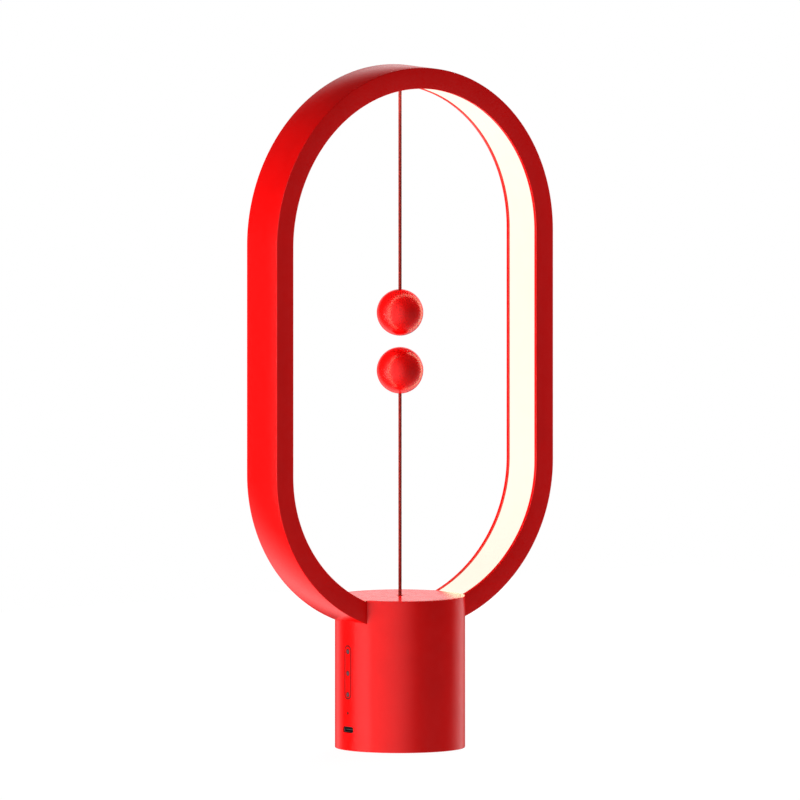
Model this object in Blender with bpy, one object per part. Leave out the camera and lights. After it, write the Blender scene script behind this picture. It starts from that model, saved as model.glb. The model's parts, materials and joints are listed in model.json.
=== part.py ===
"""Magnetic balance lamp: an oval light band on a drum, with two balls on strings.

Metres, +Z up. The origin is the centre of the foot ring's underside. X runs across the
band's width, and the front faces -Y. Every size is a named value at the top of its section.
"""

import math

import bmesh
import bpy
from mathutils import Matrix, Vector

for old_object in list(bpy.data.objects):
    bpy.data.objects.remove(old_object)

MM = 0.001

# Driving dimensions of the band
BAND_WIDTH = 200.0 * MM
BAND_TOP = 398.0 * MM
BAND_DEPTH = 29.4 * MM
BAND_THICKNESS = 12.25 * MM
LOWER_ARC_TOP = 164.0 * MM
LOWER_ARC_DROP = 94.6 * MM
LIP = 2.0 * MM
BAND_WALL = 2.0 * MM
BAND_EDGE = 0.4 * MM

# Driving dimensions of the drum
DRUM_DIAMETER = 75.66 * MM
DRUM_TOP = 89.06 * MM
DRUM_WALL = 2.4 * MM
DRUM_EDGE = 0.4 * MM
FOOT_PROUD = 0.5 * MM

# Driving dimensions of the balls and strings
BALL_DIAMETER = 27.1 * MM
BALL_GAP = 6.7 * MM
UPPER_BALL_HEIGHT = 254.3 * MM
STRING_DIAMETER = 1.7 * MM

# Clearances that the whole lamp shares
CLEARANCE = 0.3 * MM
OVERRUN = 5.0 * MM

# Facets of round work
ARC_STEPS = 32
LOWER_STEPS = 12
DRUM_STEPS = 64
BALL_STEPS = 32
BALL_RINGS = 16
BEAD_RINGS = 6
SMALL_STEPS = 16
SCREW_STEPS = 10
STRING_STEPS = 8
SMOOTH_ANGLE = math.radians(30.0)

BAND_HALF_WIDTH = BAND_WIDTH / 2
BAND_FACE = BAND_DEPTH / 2
UPPER_ARC_CENTRE = BAND_TOP - BAND_HALF_WIDTH
DRUM_RADIUS = DRUM_DIAMETER / 2
DRUM_BORE = DRUM_RADIUS - DRUM_WALL
BALL_RADIUS = BALL_DIAMETER / 2
STRING_RADIUS = STRING_DIAMETER / 2
LOWER_BALL_HEIGHT = UPPER_BALL_HEIGHT - BALL_DIAMETER - BALL_GAP


# Materials

def finish(name, colour, roughness, metallic=0.0):
    """Return a Principled material."""
    material = bpy.data.materials.new(name)
    material.use_nodes = True
    shader = material.node_tree.nodes["Principled BSDF"]
    shader.inputs["Base Color"].default_value = (*colour, 1.0)
    shader.inputs["Roughness"].default_value = roughness
    shader.inputs["Metallic"].default_value = metallic
    return material


RED_PLASTIC = finish("red_plastic", (0.68, 0.012, 0.010), 0.38)
RED_GLOSS = finish("red_gloss", (0.72, 0.010, 0.008), 0.16)
RED_STRING = finish("red_string", (0.50, 0.020, 0.012), 0.80)
OPAL = finish("opal_plastic", (0.98, 0.96, 0.84), 0.45)
GREY_RUBBER = finish("grey_rubber", (0.18, 0.11, 0.13), 0.60)
BLACK_RUBBER = finish("black_rubber", (0.02, 0.02, 0.02), 0.85)
BLACK_PLASTIC = finish("black_plastic", (0.03, 0.03, 0.03), 0.50)
WHITE_PLASTIC = finish("white_plastic", (0.80, 0.80, 0.78), 0.50)
BOARD_GREEN = finish("board_green", (0.02, 0.16, 0.06), 0.45)
STRIP_WHITE = finish("strip_white", (0.85, 0.85, 0.80), 0.50)
STEEL = finish("steel", (0.56, 0.56, 0.58), 0.35, 1.0)
NICKEL = finish("nickel", (0.66, 0.64, 0.61), 0.22, 1.0)
BRASS = finish("brass", (0.70, 0.52, 0.22), 0.30, 1.0)
WIRE_RED = finish("wire_red", (0.45, 0.02, 0.02), 0.50)


# Modelling helpers

def make_object(name, mesh_builder, material):
    """Turn a bmesh into a smooth shaded object whose faces point outwards."""
    bmesh.ops.recalc_face_normals(mesh_builder, faces=mesh_builder.faces)
    mesh = bpy.data.meshes.new(name)
    mesh_builder.to_mesh(mesh)
    mesh_builder.free()
    mesh.materials.append(material)
    mesh.shade_smooth()
    mesh.set_sharp_from_angle(angle=SMOOTH_ANGLE)
    piece = bpy.data.objects.new(name, mesh)
    bpy.context.scene.collection.objects.link(piece)
    return piece


def combine(target, tools, operation):
    """Join solids to the target or cut them from it, and remove the tools."""
    for tool in tools:
        tool.hide_render = True
        tool.display_type = "WIRE"
        modifier = target.modifiers.new(operation.lower(), "BOOLEAN")
        modifier.operation = operation
        modifier.solver = "EXACT"
        modifier.object = tool
    evaluated = target.evaluated_get(bpy.context.evaluated_depsgraph_get())
    result = bpy.data.meshes.new_from_object(evaluated)
    target.modifiers.clear()
    target.data = result
    result.set_sharp_from_angle(angle=SMOOTH_ANGLE)
    for tool in tools:
        bpy.data.objects.remove(tool)
    return target


def cut(target, *tools):
    return combine(target, tools, "DIFFERENCE")


def join(target, *tools):
    return combine(target, tools, "UNION")


def prism(name, outline, along, low, high, material=RED_PLASTIC):
    """Extrude a flat outline along one axis.

    The outline's two numbers are (Y, Z) along X, (X, Z) along Y, and (X, Y) along Z.
    """
    place = {
        "X": lambda a, b, depth: (depth, a, b),
        "Y": lambda a, b, depth: (a, depth, b),
        "Z": lambda a, b, depth: (a, b, depth),
    }[along]
    builder = bmesh.new()
    near = [builder.verts.new(place(a, b, low)) for a, b in outline]
    far = [builder.verts.new(place(a, b, high)) for a, b in outline]
    builder.faces.new(near)
    builder.faces.new(far)
    for index in range(len(outline)):
        after = (index + 1) % len(outline)
        builder.faces.new((near[index], near[after], far[after], far[index]))
    return make_object(name, builder, material)


def box(name, x_span, y_span, z_span, material=RED_PLASTIC):
    """Make a block from its low and high ends along X, Y and Z."""
    outline = [(x_span[0], y_span[0]), (x_span[1], y_span[0]),
               (x_span[1], y_span[1]), (x_span[0], y_span[1])]
    return prism(name, outline, "Z", z_span[0], z_span[1], material)


def circle(centre, radius, steps=SMALL_STEPS):
    """Return the corners of a circle drawn as a polygon."""
    turns = [math.tau * step / steps for step in range(steps)]
    return [(centre[0] + radius * math.cos(a), centre[1] + radius * math.sin(a)) for a in turns]


def rod(name, along, centre, radius, low, high, material=RED_PLASTIC, steps=SMALL_STEPS):
    """Make a round bar along an axis, centred on the other two coordinates."""
    return prism(name, circle(centre, radius, steps), along, low, high, material)


def rounded_slot(centre, width, height, corner, corner_steps=6):
    """Return a rectangle with round corners, as (across, up) points."""
    points = []
    for quarter, (sign_a, sign_b) in enumerate(((1, 1), (-1, 1), (-1, -1), (1, -1))):
        middle_a = centre[0] + sign_a * (width / 2 - corner)
        middle_b = centre[1] + sign_b * (height / 2 - corner)
        for step in range(corner_steps + 1):
            angle = math.pi / 2 * (quarter + step / corner_steps)
            points.append((middle_a + corner * math.cos(angle), middle_b + corner * math.sin(angle)))
    return points


def turned(name, profile, material, steps=SMALL_STEPS):
    """Turn an open profile of (radius, height), from axis to axis, or a closed loop off the axis."""
    builder = bmesh.new()
    rings = []
    for radius, height in profile:
        if radius == 0:
            rings.append([builder.verts.new((0, 0, height))])
            continue
        turns = [math.tau * step / steps for step in range(steps)]
        rings.append([builder.verts.new((radius * math.cos(a), radius * math.sin(a), height))
                      for a in turns])
    pairs = list(zip(rings, rings[1:]))
    if profile[0][0] > 0:
        pairs.append((rings[-1], rings[0]))
    for lower, upper in pairs:
        for step in range(steps):
            after = (step + 1) % steps
            corners = [lower[step % len(lower)], lower[after % len(lower)],
                       upper[after % len(upper)], upper[step % len(upper)]]
            builder.faces.new(list(dict.fromkeys(corners)))
    return make_object(name, builder, material)


def arc(radius, start, end, steps):
    """Return (radius, height) points of an arc about the origin, angles from the horizontal."""
    angles = [start + (end - start) * step / steps for step in range(steps + 1)]
    return [(radius * math.cos(a), radius * math.sin(a)) for a in angles]


def raised(profile, height):
    return [(radius, level + height) for radius, level in profile]


def aim_along(piece, direction, place):
    """Turn a piece made along +Z to a direction, and move it to its place."""
    turn = Vector((0, 0, 1)).rotation_difference(Vector(direction)).to_matrix().to_4x4()
    piece.data.transform(Matrix.Translation(place) @ turn)
    return piece


def smooth_route(points, samples):
    """Return points along a Catmull-Rom curve through the given points."""
    knots = [Vector(point) for point in points]
    padded = [2 * knots[0] - knots[1], *knots, 2 * knots[-1] - knots[-2]]
    route = []
    for index in range(len(knots) - 1):
        before, start, end, after = padded[index:index + 4]
        for sample in range(samples):
            t = sample / samples
            route.append(0.5 * ((2 * start) + (end - before) * t
                                + (2 * before - 5 * start + 4 * end - after) * t ** 2
                                + (3 * start - before - 3 * end + after) * t ** 3))
    route.append(knots[-1])
    return route


def tube(name, route, radius, material):
    """Make a round wire along a route, with closed ends."""
    curve = bpy.data.curves.new(name, "CURVE")
    curve.dimensions = "3D"
    curve.bevel_depth = radius
    curve.bevel_resolution = 1
    curve.use_fill_caps = True
    spline = curve.splines.new("POLY")
    spline.points.add(len(route) - 1)
    for point, place in zip(spline.points, route):
        point.co = (*place, 1)
    curve.materials.append(material)
    wire = bpy.data.objects.new(name, curve)
    bpy.context.scene.collection.objects.link(wire)
    return wire


def pivot(name, place, parent=None):
    """Put an empty on a joint's axis; the pieces of that body hang on it."""
    empty = bpy.data.objects.new(name, None)
    bpy.context.scene.collection.objects.link(empty)
    empty.parent = parent
    parent_place = parent["place"] if parent else (0, 0, 0)
    empty.location = Vector(place) - Vector(parent_place)
    empty["place"] = Vector(place)
    return empty


def hang(piece, joint):
    """Give a piece modelled in place its origin on a joint and parent it there."""
    piece.data.transform(Matrix.Translation(-Vector(joint["place"])))
    piece.parent = joint
    return piece


# The band: both halves, the diffuser and the light strips follow one outline

def station_point(station, inset):
    """Return (X, Z) of the outline at a station, moved inwards by the inset."""
    is_lower, angle = station
    across = (BAND_HALF_WIDTH - inset) * math.cos(angle)
    if is_lower:
        return across, LOWER_ARC_TOP + (LOWER_ARC_DROP - inset) * math.sin(angle)
    return across, UPPER_ARC_CENTRE + (BAND_HALF_WIDTH - inset) * math.sin(angle)


def stations_between(lower_start):
    """List the stations from a lower angle on the right, over the top, to the left."""
    right = [(True, lower_start * (1 - step / LOWER_STEPS)) for step in range(LOWER_STEPS + 1)]
    top = [(False, math.pi * step / ARC_STEPS) for step in range(ARC_STEPS + 1)]
    left = [(True, math.pi - angle) for _, angle in reversed(right)]
    return right + top + left


def sweep_section(name, section, stations, closed, material):
    """Carry a cross-section of (inset, Y) points along the stations."""
    builder = bmesh.new()
    rows = []
    for station in stations:
        row = []
        for inset, depth in section:
            across, height = station_point(station, inset)
            row.append(builder.verts.new((across, depth, height)))
        rows.append(row)
    count = len(section)
    pairs = list(zip(rows, rows[1:]))
    if closed:
        pairs.append((rows[-1], rows[0]))
    for here, ahead in pairs:
        for index in range(count):
            after = (index + 1) % count
            builder.faces.new((here[index], here[after], ahead[after], ahead[index]))
    if not closed:
        builder.faces.new(rows[0])
        builder.faces.new(rows[-1])
    return make_object(name, builder, material)


def lower_outline(inset, half_width):
    """Return the outline's lower stretch, left to right, out to a half width."""
    limit = math.acos(half_width / (BAND_HALF_WIDTH - inset))
    angles = [math.pi + limit + (math.pi - 2 * limit) * step / (2 * LOWER_STEPS)
              for step in range(2 * LOWER_STEPS + 1)]
    return [station_point((True, angle), inset) for angle in angles]


def outline_height(inset, across):
    """Return the height of the lower outline at a distance from the centre plane."""
    share = across / (BAND_HALF_WIDTH - inset)
    return LOWER_ARC_TOP - (LOWER_ARC_DROP - inset) * math.sqrt(1 - share * share)


BAND_STATIONS = stations_between(-math.pi / 2)[:-1]
LIP_INSIDE = BAND_FACE - LIP

DIFFUSER_THICKNESS = 1.7 * MM
DIFFUSER_SET_BACK = 0.3 * MM
KEEPER_THICKNESS = 1.2 * MM
KEEPER_HEIGHT = 1.5 * MM
DIFFUSER_FRONT = BAND_THICKNESS - DIFFUSER_SET_BACK
DIFFUSER_BACK = DIFFUSER_FRONT - DIFFUSER_THICKNESS
KEEPER_NEAR = DIFFUSER_BACK - CLEARANCE
KEEPER_FAR = KEEPER_NEAR - KEEPER_THICKNESS

PRESS_RIB_THICKNESS = 1.2 * MM
PRESS_RIB_HEIGHT = 3.0 * MM
COVER_EDGE = BAND_WALL + CLEARANCE

STRIP_THICKNESS = 0.4 * MM
STRIP_HALF_WIDTH = 4.0 * MM
CHIP_LENGTH = 2.8 * MM
CHIP_HALF_WIDTH = 1.75 * MM
CHIP_HEIGHT = 0.8 * MM
CHIP_SINK = 0.1 * MM
CHIP_PITCH = 16.0 * MM
STRIP_BACK = BAND_WALL + CLEARANCE
STRIP_FRONT = STRIP_BACK + STRIP_THICKNESS
STRIP_END_FROM_WIRE = 4.8 * MM
STRIP_TOP_GAP_HALF = 9.0 * MM

ANCHOR_BEAD_RADIUS = 3.0 * MM
ANCHOR_BEAD_SEAT = 0.35 * MM
ANCHOR_WALL = 1.0 * MM
ANCHOR_FLANGE = 1.9 * MM
ANCHOR_FLANGE_THICKNESS = 1.5 * MM
ANCHOR_SWING = math.radians(25.0)

GUIDE_BEAD_RADIUS = 2.2 * MM
GUIDE_WALL = 2.5 * MM
GUIDE_FLANGE = 2.5 * MM
GUIDE_FLANGE_THICKNESS = 1.5 * MM
GUIDE_SET_BACK = 0.2 * MM
GUIDE_SWING = math.radians(8.0)


class StringSeat:
    """The cup that holds a string's bead, and the flared mouth that lets the string swing."""

    def __init__(self, bead_radius, swing):
        corner = math.acos(math.cos(swing) ** 2)
        self.cup = bead_radius + CLEARANCE
        self.slope = math.tan(corner)
        self.start = STRING_RADIUS / math.cos(corner) + CLEARANCE
        a = 1 + self.slope ** 2
        b = 2 * self.slope * self.start
        c = self.start ** 2 - self.cup ** 2
        self.lip_depth = (math.sqrt(b * b - 4 * a * c) - b) / (2 * a)
        self.lip_radius = self.start + self.slope * self.lip_depth

    def mouth(self, depth):
        return self.start + self.slope * depth

    def cup_arc(self, steps):
        """List (radius, depth below the centre) from the lip to the cup's widest ring."""
        lip = math.asin(self.lip_depth / self.cup)
        return [(self.cup * math.cos(lip * (1 - step / steps)),
                 self.cup * math.sin(lip * (1 - step / steps))) for step in range(steps + 1)]


ANCHOR_SEAT = StringSeat(ANCHOR_BEAD_RADIUS, ANCHOR_SWING)
GUIDE_SEAT = StringSeat(GUIDE_BEAD_RADIUS, GUIDE_SWING)
CUP_STEPS = 3

BAND_INNER_TOP = BAND_TOP - BAND_THICKNESS
UPPER_PIVOT = BAND_INNER_TOP + ANCHOR_BEAD_SEAT + ANCHOR_BEAD_RADIUS
ANCHOR_NOSE_END = BAND_TOP - DIFFUSER_FRONT
ANCHOR_NOSE_RADIUS = ANCHOR_SEAT.mouth(UPPER_PIVOT - ANCHOR_NOSE_END) + ANCHOR_WALL
LOWER_PIVOT = DRUM_TOP - CLEARANCE - GUIDE_BEAD_RADIUS - CLEARANCE


def build_front_shell():
    """The front wall and the outer wall in one moulding, with the front lip and keeper rib."""
    front = -BAND_FACE
    section = [
        (0, front + BAND_EDGE), (BAND_EDGE, front),
        (BAND_THICKNESS - BAND_EDGE, front), (BAND_THICKNESS, front + BAND_EDGE),
        (BAND_THICKNESS, -LIP_INSIDE), (KEEPER_NEAR, -LIP_INSIDE),
        (KEEPER_NEAR, KEEPER_HEIGHT - LIP_INSIDE), (KEEPER_FAR, KEEPER_HEIGHT - LIP_INSIDE),
        (KEEPER_FAR, -LIP_INSIDE), (BAND_WALL, -LIP_INSIDE),
        (BAND_WALL, BAND_FACE), (BAND_EDGE, BAND_FACE), (0, BAND_FACE - BAND_EDGE),
    ]
    shell = sweep_section("frame_front_shell", section, BAND_STATIONS, True, RED_PLASTIC)
    wall_low = outline_height(0, 0) - OVERRUN
    wall_high = outline_height(BAND_WALL, WIRE_HOLE_ACROSS) + OVERRUN
    holes = [rod("tail_hole", "Z", (0, 0), TAIL_HOLE_RADIUS, wall_low, wall_high)]
    for side in (-1, 1):
        place = (side * FRAME_SCREW_ACROSS, 0)
        holes.append(rod("screw_hole", "Z", place, SCREW_RADIUS + CLEARANCE, wall_low, wall_high))
        place = (-WIRE_HOLE_ACROSS, side * WIRE_HOLE_DEPTH)
        holes.append(rod("wire_hole", "Z", place, WIRE_HOLE_RADIUS, wall_low, wall_high))
    return cut(shell, *holes)


def build_rear_cover():
    """The flat rear ring, set inside the outer wall, with its press rib and keeper rib."""
    inside = LIP_INSIDE
    section = [
        (COVER_EDGE, BAND_FACE), (COVER_EDGE, inside - PRESS_RIB_HEIGHT),
        (COVER_EDGE + PRESS_RIB_THICKNESS, inside - PRESS_RIB_HEIGHT),
        (COVER_EDGE + PRESS_RIB_THICKNESS, inside),
        (KEEPER_FAR, inside), (KEEPER_FAR, inside - KEEPER_HEIGHT),
        (KEEPER_NEAR, inside - KEEPER_HEIGHT), (KEEPER_NEAR, inside),
        (BAND_THICKNESS, inside), (BAND_THICKNESS, BAND_FACE - BAND_EDGE),
        (BAND_THICKNESS - BAND_EDGE, BAND_FACE),
    ]
    return sweep_section("frame_rear_cover", section, BAND_STATIONS, True, RED_PLASTIC)


def build_diffuser():
    """The opal strip between the lips, from one side of the drum over the top to the other."""
    half = LIP_INSIDE - CLEARANCE
    section = [(DIFFUSER_BACK, -half), (DIFFUSER_FRONT, -half),
               (DIFFUSER_FRONT, half), (DIFFUSER_BACK, half)]
    drop = LOWER_ARC_DROP - DIFFUSER_FRONT
    start = -math.asin((LOWER_ARC_TOP - DIFFUSER_END_HEIGHT) / drop)
    strip = sweep_section("light_diffuser", section, stations_between(start), False, OPAL)
    hole_top = BAND_TOP - BAND_WALL
    return cut(strip, rod("string_hole", "Z", (0, 0), ANCHOR_NOSE_RADIUS + CLEARANCE,
                          hole_top - OVERRUN - DIFFUSER_FRONT, hole_top))


def build_light_strip(side, name):
    """One flexible strip with its row of light chips, on the outer wall's inner face."""
    start = -math.acos(STRIP_END_ACROSS / (BAND_HALF_WIDTH - STRIP_BACK))
    top_end = math.acos(STRIP_TOP_GAP_HALF / (BAND_HALF_WIDTH - STRIP_BACK))
    quarter = ARC_STEPS // 2
    lower = [(True, start * (1 - step / LOWER_STEPS)) for step in range(LOWER_STEPS + 1)]
    upper = [(False, top_end * step / quarter) for step in range(quarter + 1)]
    stations = lower + upper
    if side < 0:
        stations = [(is_lower, math.pi - angle) for is_lower, angle in stations]
    section = [(STRIP_BACK, -STRIP_HALF_WIDTH), (STRIP_FRONT, -STRIP_HALF_WIDTH),
               (STRIP_FRONT, STRIP_HALF_WIDTH), (STRIP_BACK, STRIP_HALF_WIDTH)]
    strip = sweep_section(name, section, stations, False, STRIP_WHITE)
    return join(strip, *[chip_block(place, along) for place, along in chip_places(stations)])


def chip_places(stations):
    """Walk along the strip's face and list each chip's place and direction."""
    points = [Vector(station_point(station, STRIP_FRONT)) for station in stations]
    places = []
    travelled = 0.0
    wanted = CHIP_PITCH / 2
    margin = CHIP_LENGTH / 2 + CLEARANCE
    for here, ahead in zip(points, points[1:]):
        step = (ahead - here).length
        while step > 2 * margin and wanted <= travelled + step - margin:
            along = (ahead - here) / step
            places.append((here + along * max(wanted - travelled, margin), along))
            wanted += CHIP_PITCH
        travelled += step
    return places


def chip_block(place, along):
    """A light chip, its back sunk a little into the strip and its face to the diffuser."""
    inward = Vector((-along[1], along[0]))
    if inward.dot(Vector((0, UPPER_ARC_CENTRE)) - place) < 0:
        inward = -inward
    corners = []
    for run, rise in ((-1, 0), (1, 0), (1, 1), (-1, 1)):
        reach = rise * (CHIP_HEIGHT + CHIP_SINK) - CHIP_SINK
        corner = place + along * (run * CHIP_LENGTH / 2) + inward * reach
        corners.append((corner[0], corner[1]))
    return prism("chip", corners, "Y", -CHIP_HALF_WIDTH, CHIP_HALF_WIDTH)


def build_string_anchor():
    """The cup at the top of the band: the bead sits in it and the string leaves by the mouth."""
    seat = ANCHOR_SEAT
    nose_top = BAND_TOP - DIFFUSER_BACK + CLEARANCE
    flange_top = nose_top + ANCHOR_FLANGE_THICKNESS
    reach = ANCHOR_NOSE_RADIUS
    wall_inside = BAND_HALF_WIDTH - BAND_WALL
    top = UPPER_ARC_CENTRE + math.sqrt(wall_inside ** 2 - reach ** 2) - CLEARANCE
    profile = [(seat.mouth(UPPER_PIVOT - ANCHOR_NOSE_END), ANCHOR_NOSE_END)]
    profile += [(radius, UPPER_PIVOT - depth) for radius, depth in seat.cup_arc(CUP_STEPS)]
    profile += [(seat.cup, top), (reach, top), (reach, flange_top),
                (reach + ANCHOR_FLANGE, flange_top), (reach + ANCHOR_FLANGE, nose_top),
                (reach, nose_top), (reach, ANCHOR_NOSE_END)]
    return turned("upper_string_anchor", profile, RED_PLASTIC, SMALL_STEPS)


# The drum: housing, top cap, string guide, bottom cover, foot and ballast

SCREW_RADIUS = 1.2 * MM
SCREW_HEAD_RADIUS = 2.4 * MM
SCREW_HEAD_HEIGHT = 1.5 * MM
SCREW_DRIVE_RADIUS = 0.9 * MM
SCREW_DRIVE_DEPTH = 0.7 * MM
SCREW_MARGIN = 0.2 * MM

COVER_THICKNESS = 3.0 * MM
FOOT_BAND = 6.0 * MM
FOOT_SCREW_WALL = 1.2 * MM
FOOT_THICKNESS = 1.5 * MM
SCREW_WALL_DISTANCE = 4.23 * MM
BOTTOM_SCREW_LENGTH = 9.0 * MM
BOSS_OVERLAP = 0.17 * MM
BOTTOM_BOSS_HEIGHT = 11.0 * MM
BOTTOM_SCREW_COUNT = 4

BALLAST_BOSS_GAP = 0.8 * MM
BALLAST_THICKNESS = 6.0 * MM
BALLAST_HOLE = 4.0 * MM

CAP_THICKNESS = 2.0 * MM
CAP_SKIRT_THICKNESS = 1.2 * MM
CAP_SKIRT_DEPTH = 6.0 * MM
SLOT_HALF_DEPTH = BAND_FACE + CLEARANCE

BOTTOM_SCREW_CIRCLE = DRUM_BORE - SCREW_WALL_DISTANCE
BOSS_RADIUS = SCREW_WALL_DISTANCE + BOSS_OVERLAP
FOOT_OUTER = BOTTOM_SCREW_CIRCLE - SCREW_HEAD_RADIUS - 2 * CLEARANCE - FOOT_SCREW_WALL
FOOT_INNER = FOOT_OUTER - FOOT_BAND
BALLAST_RADIUS = BOTTOM_SCREW_CIRCLE - BOSS_RADIUS - BALLAST_BOSS_GAP
HOUSING_BOTTOM = FOOT_PROUD
COVER_TOP = FOOT_PROUD + COVER_THICKNESS
CAP_RADIUS = DRUM_BORE - CLEARANCE
CAP_UNDERSIDE = DRUM_TOP - CAP_THICKNESS
DIFFUSER_END_HEIGHT = CAP_UNDERSIDE
BALLAST_BOTTOM = COVER_TOP + CLEARANCE
BALLAST_TOP = BALLAST_BOTTOM + BALLAST_THICKNESS

# The control panel on the drum's left side, all heights read on the photograph
BUTTON_HEIGHTS = {"upper": 58.4 * MM, "middle": 45.7 * MM, "lower": 33.3 * MM}
BUTTON_RADIUS = 1.4 * MM
BUTTON_PROUD = 0.2 * MM
BUTTON_FLANGE_RADIUS = 2.3 * MM
BUTTON_FLANGE_THICKNESS = 1.0 * MM
BUTTON_STEM_RADIUS = 1.2 * MM
BUTTON_TRAVEL = 0.5 * MM
PLATE_WIDTH = 5.9 * MM
PLATE_HEIGHT = 31.1 * MM
PLATE_FLANGE = 1.6 * MM
PLATE_FLANGE_THICKNESS = 1.2 * MM
PLATE_RISE = 0.4 * MM
PIN_HOLE_RADIUS = 0.55 * MM
PIN_HOLE_HEIGHT = 22.4 * MM
PORT_WIDTH = 9.7 * MM
PORT_HEIGHT = 3.6 * MM
PORT_CORNER = 1.3 * MM
PORT_LEVEL = 12.8 * MM
PORT_SET_BACK = 0.9 * MM
PORT_SHELL_WALL = 0.3 * MM
TONGUE_WIDTH = 6.7 * MM
TONGUE_THICKNESS = 0.7 * MM
TONGUE_LENGTH = 5.2 * MM
TONGUE_SET_BACK = 0.8 * MM
PLATE_MIDDLE = (BUTTON_HEIGHTS["upper"] + BUTTON_HEIGHTS["lower"]) / 2 + PLATE_RISE

BOARD_DEPTH = 11.83 * MM
BOARD_THICKNESS = 1.6 * MM
BOARD_HALF_WIDTH = 12.5 * MM
BOARD_ABOVE_PLATE = 2.2 * MM
BOARD_FACE = BOARD_DEPTH - DRUM_RADIUS
BOARD_TOP = PLATE_MIDDLE + PLATE_HEIGHT / 2 + BOARD_ABOVE_PLATE
BOARD_BOTTOM = BALLAST_TOP + 2 * CLEARANCE
BOARD_SCREW_RISE = 6.2 * MM
BOARD_SCREW_HEIGHT = BUTTON_HEIGHTS["lower"] + BOARD_SCREW_RISE
BOARD_SCREW_ACROSS = 9.5 * MM
BOARD_POST_RADIUS = 2.6 * MM
BOARD_SCREW_LENGTH = 8.0 * MM
TACT_HALF = 3.0 * MM
TACT_THICKNESS = 3.2 * MM
LIGHT_HALF = 0.8 * MM
LIGHT_THICKNESS = 0.8 * MM

# The mechanism under the band
FRAME_SCREW_INSET = 6.0 * MM
FRAME_SCREW_LENGTH = 8.0 * MM
WIRE_HOLE_ACROSS = -(BOARD_FACE + BOARD_THICKNESS / 2)
STRIP_END_ACROSS = WIRE_HOLE_ACROSS + STRIP_END_FROM_WIRE
WIRE_HOLE_DEPTH = 7.8 * MM
WIRE_RADIUS = 0.6 * MM
WIRE_HOLE_RADIUS = 1.3 * MM
TAIL_HOLE_RADIUS = 2.5 * MM

SADDLE_BOARD_GAP = 3.4 * MM
SADDLE_HALF_LENGTH = -BOARD_FACE - BOARD_THICKNESS - SADDLE_BOARD_GAP
FRAME_SCREW_ACROSS = SADDLE_HALF_LENGTH - FRAME_SCREW_INSET
SADDLE_HALF_DEPTH = 12.0 * MM
SADDLE_THICKNESS = 7.1 * MM
BAR_HALF_WIDTH = 6.0 * MM
BAR_THICKNESS = 3.0 * MM
BRACKET_SCREW_REACH = DRUM_BORE - SCREW_WALL_DISTANCE
BRACKET_SCREW_LENGTH = 12.0 * MM
BRACKET_BOSS_HEIGHT = 16.0 * MM
SADDLE_BOTTOM = LOWER_ARC_TOP - LOWER_ARC_DROP - CLEARANCE - SADDLE_THICKNESS
BAR_REACH = BRACKET_SCREW_REACH + SCREW_HEAD_RADIUS + SCREW_MARGIN

CHEEK_LOW = -7.0 * MM
CHEEK_HIGH = 13.4 * MM
CHEEK_INSIDE = 8.0 * MM
CHEEK_THICKNESS = 1.5 * MM
SLIDER_TRAVEL = 3.0 * MM
STEM_RADIUS = 2.0 * MM
FLANGE_RADIUS = 5.5 * MM
FLANGE_THICKNESS = 2.0 * MM
SPRING_LENGTH = 12.4 * MM
STEM_ABOVE_SADDLE = 4.0 * MM
STEM_BELOW_FLOOR = 3.0 * MM
SPRING_RADIUS = 3.7 * MM
SPRING_WIRE = 0.4 * MM
SPRING_TURNS = 6
SPRING_STEPS = 10

FLANGE_TOP = SADDLE_BOTTOM - SPRING_LENGTH - 2 * CLEARANCE
FLANGE_BOTTOM = FLANGE_TOP - FLANGE_THICKNESS
FLOOR_TOP = FLANGE_BOTTOM - SLIDER_TRAVEL - CLEARANCE
FLOOR_BOTTOM = FLOOR_TOP - CHEEK_THICKNESS
STEM_TOP = SADDLE_BOTTOM + STEM_ABOVE_SADDLE
STEM_BOTTOM = FLOOR_BOTTOM - STEM_BELOW_FLOOR

SWITCH_LOW = 6.6 * MM
SWITCH_WIDTH = 5.8 * MM
SWITCH_HALF_LENGTH = 6.4 * MM
SWITCH_HEIGHT = 6.5 * MM
TERMINAL_LENGTH = 2.6 * MM
TERMINAL_WIDTH = 1.6 * MM
TERMINAL_THICKNESS = 0.5 * MM
TERMINAL_PITCH = 4.0 * MM
LEVER_WIDTH = 3.0 * MM
LEVER_THICKNESS = 0.4 * MM
LEVER_BARREL_RADIUS = 0.6 * MM
LEVER_PIVOT_FROM_END = 0.4 * MM
FINGER_PLACE = 3.6 * MM
FINGER_WIDTH = 2.0 * MM
FINGER_POST_WIDTH = 1.2 * MM
LEVER_OVERHANG = 1.0 * MM
SWITCH_HIGH = SWITCH_LOW + SWITCH_WIDTH
SWITCH_MIDDLE = SWITCH_LOW + SWITCH_WIDTH / 2
SWITCH_TOP = SADDLE_BOTTOM - CLEARANCE
SWITCH_BOTTOM = SWITCH_TOP - SWITCH_HEIGHT
LEVER_AXIS = (SWITCH_MIDDLE, LEVER_PIVOT_FROM_END - SWITCH_HALF_LENGTH,
              SWITCH_BOTTOM - CLEARANCE - LEVER_BARREL_RADIUS)
LEVER_UNDERSIDE = LEVER_AXIS[2] - LEVER_THICKNESS / 2


def band_clearance_tool(name, inset, top, half_depth):
    """A block whose lower face follows the band's lower outline."""
    outline = lower_outline(inset, DRUM_RADIUS + OVERRUN)
    outline += [(DRUM_RADIUS + OVERRUN, top), (-DRUM_RADIUS - OVERRUN, top)]
    return prism(name, outline, "Y", -half_depth, half_depth)


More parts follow.
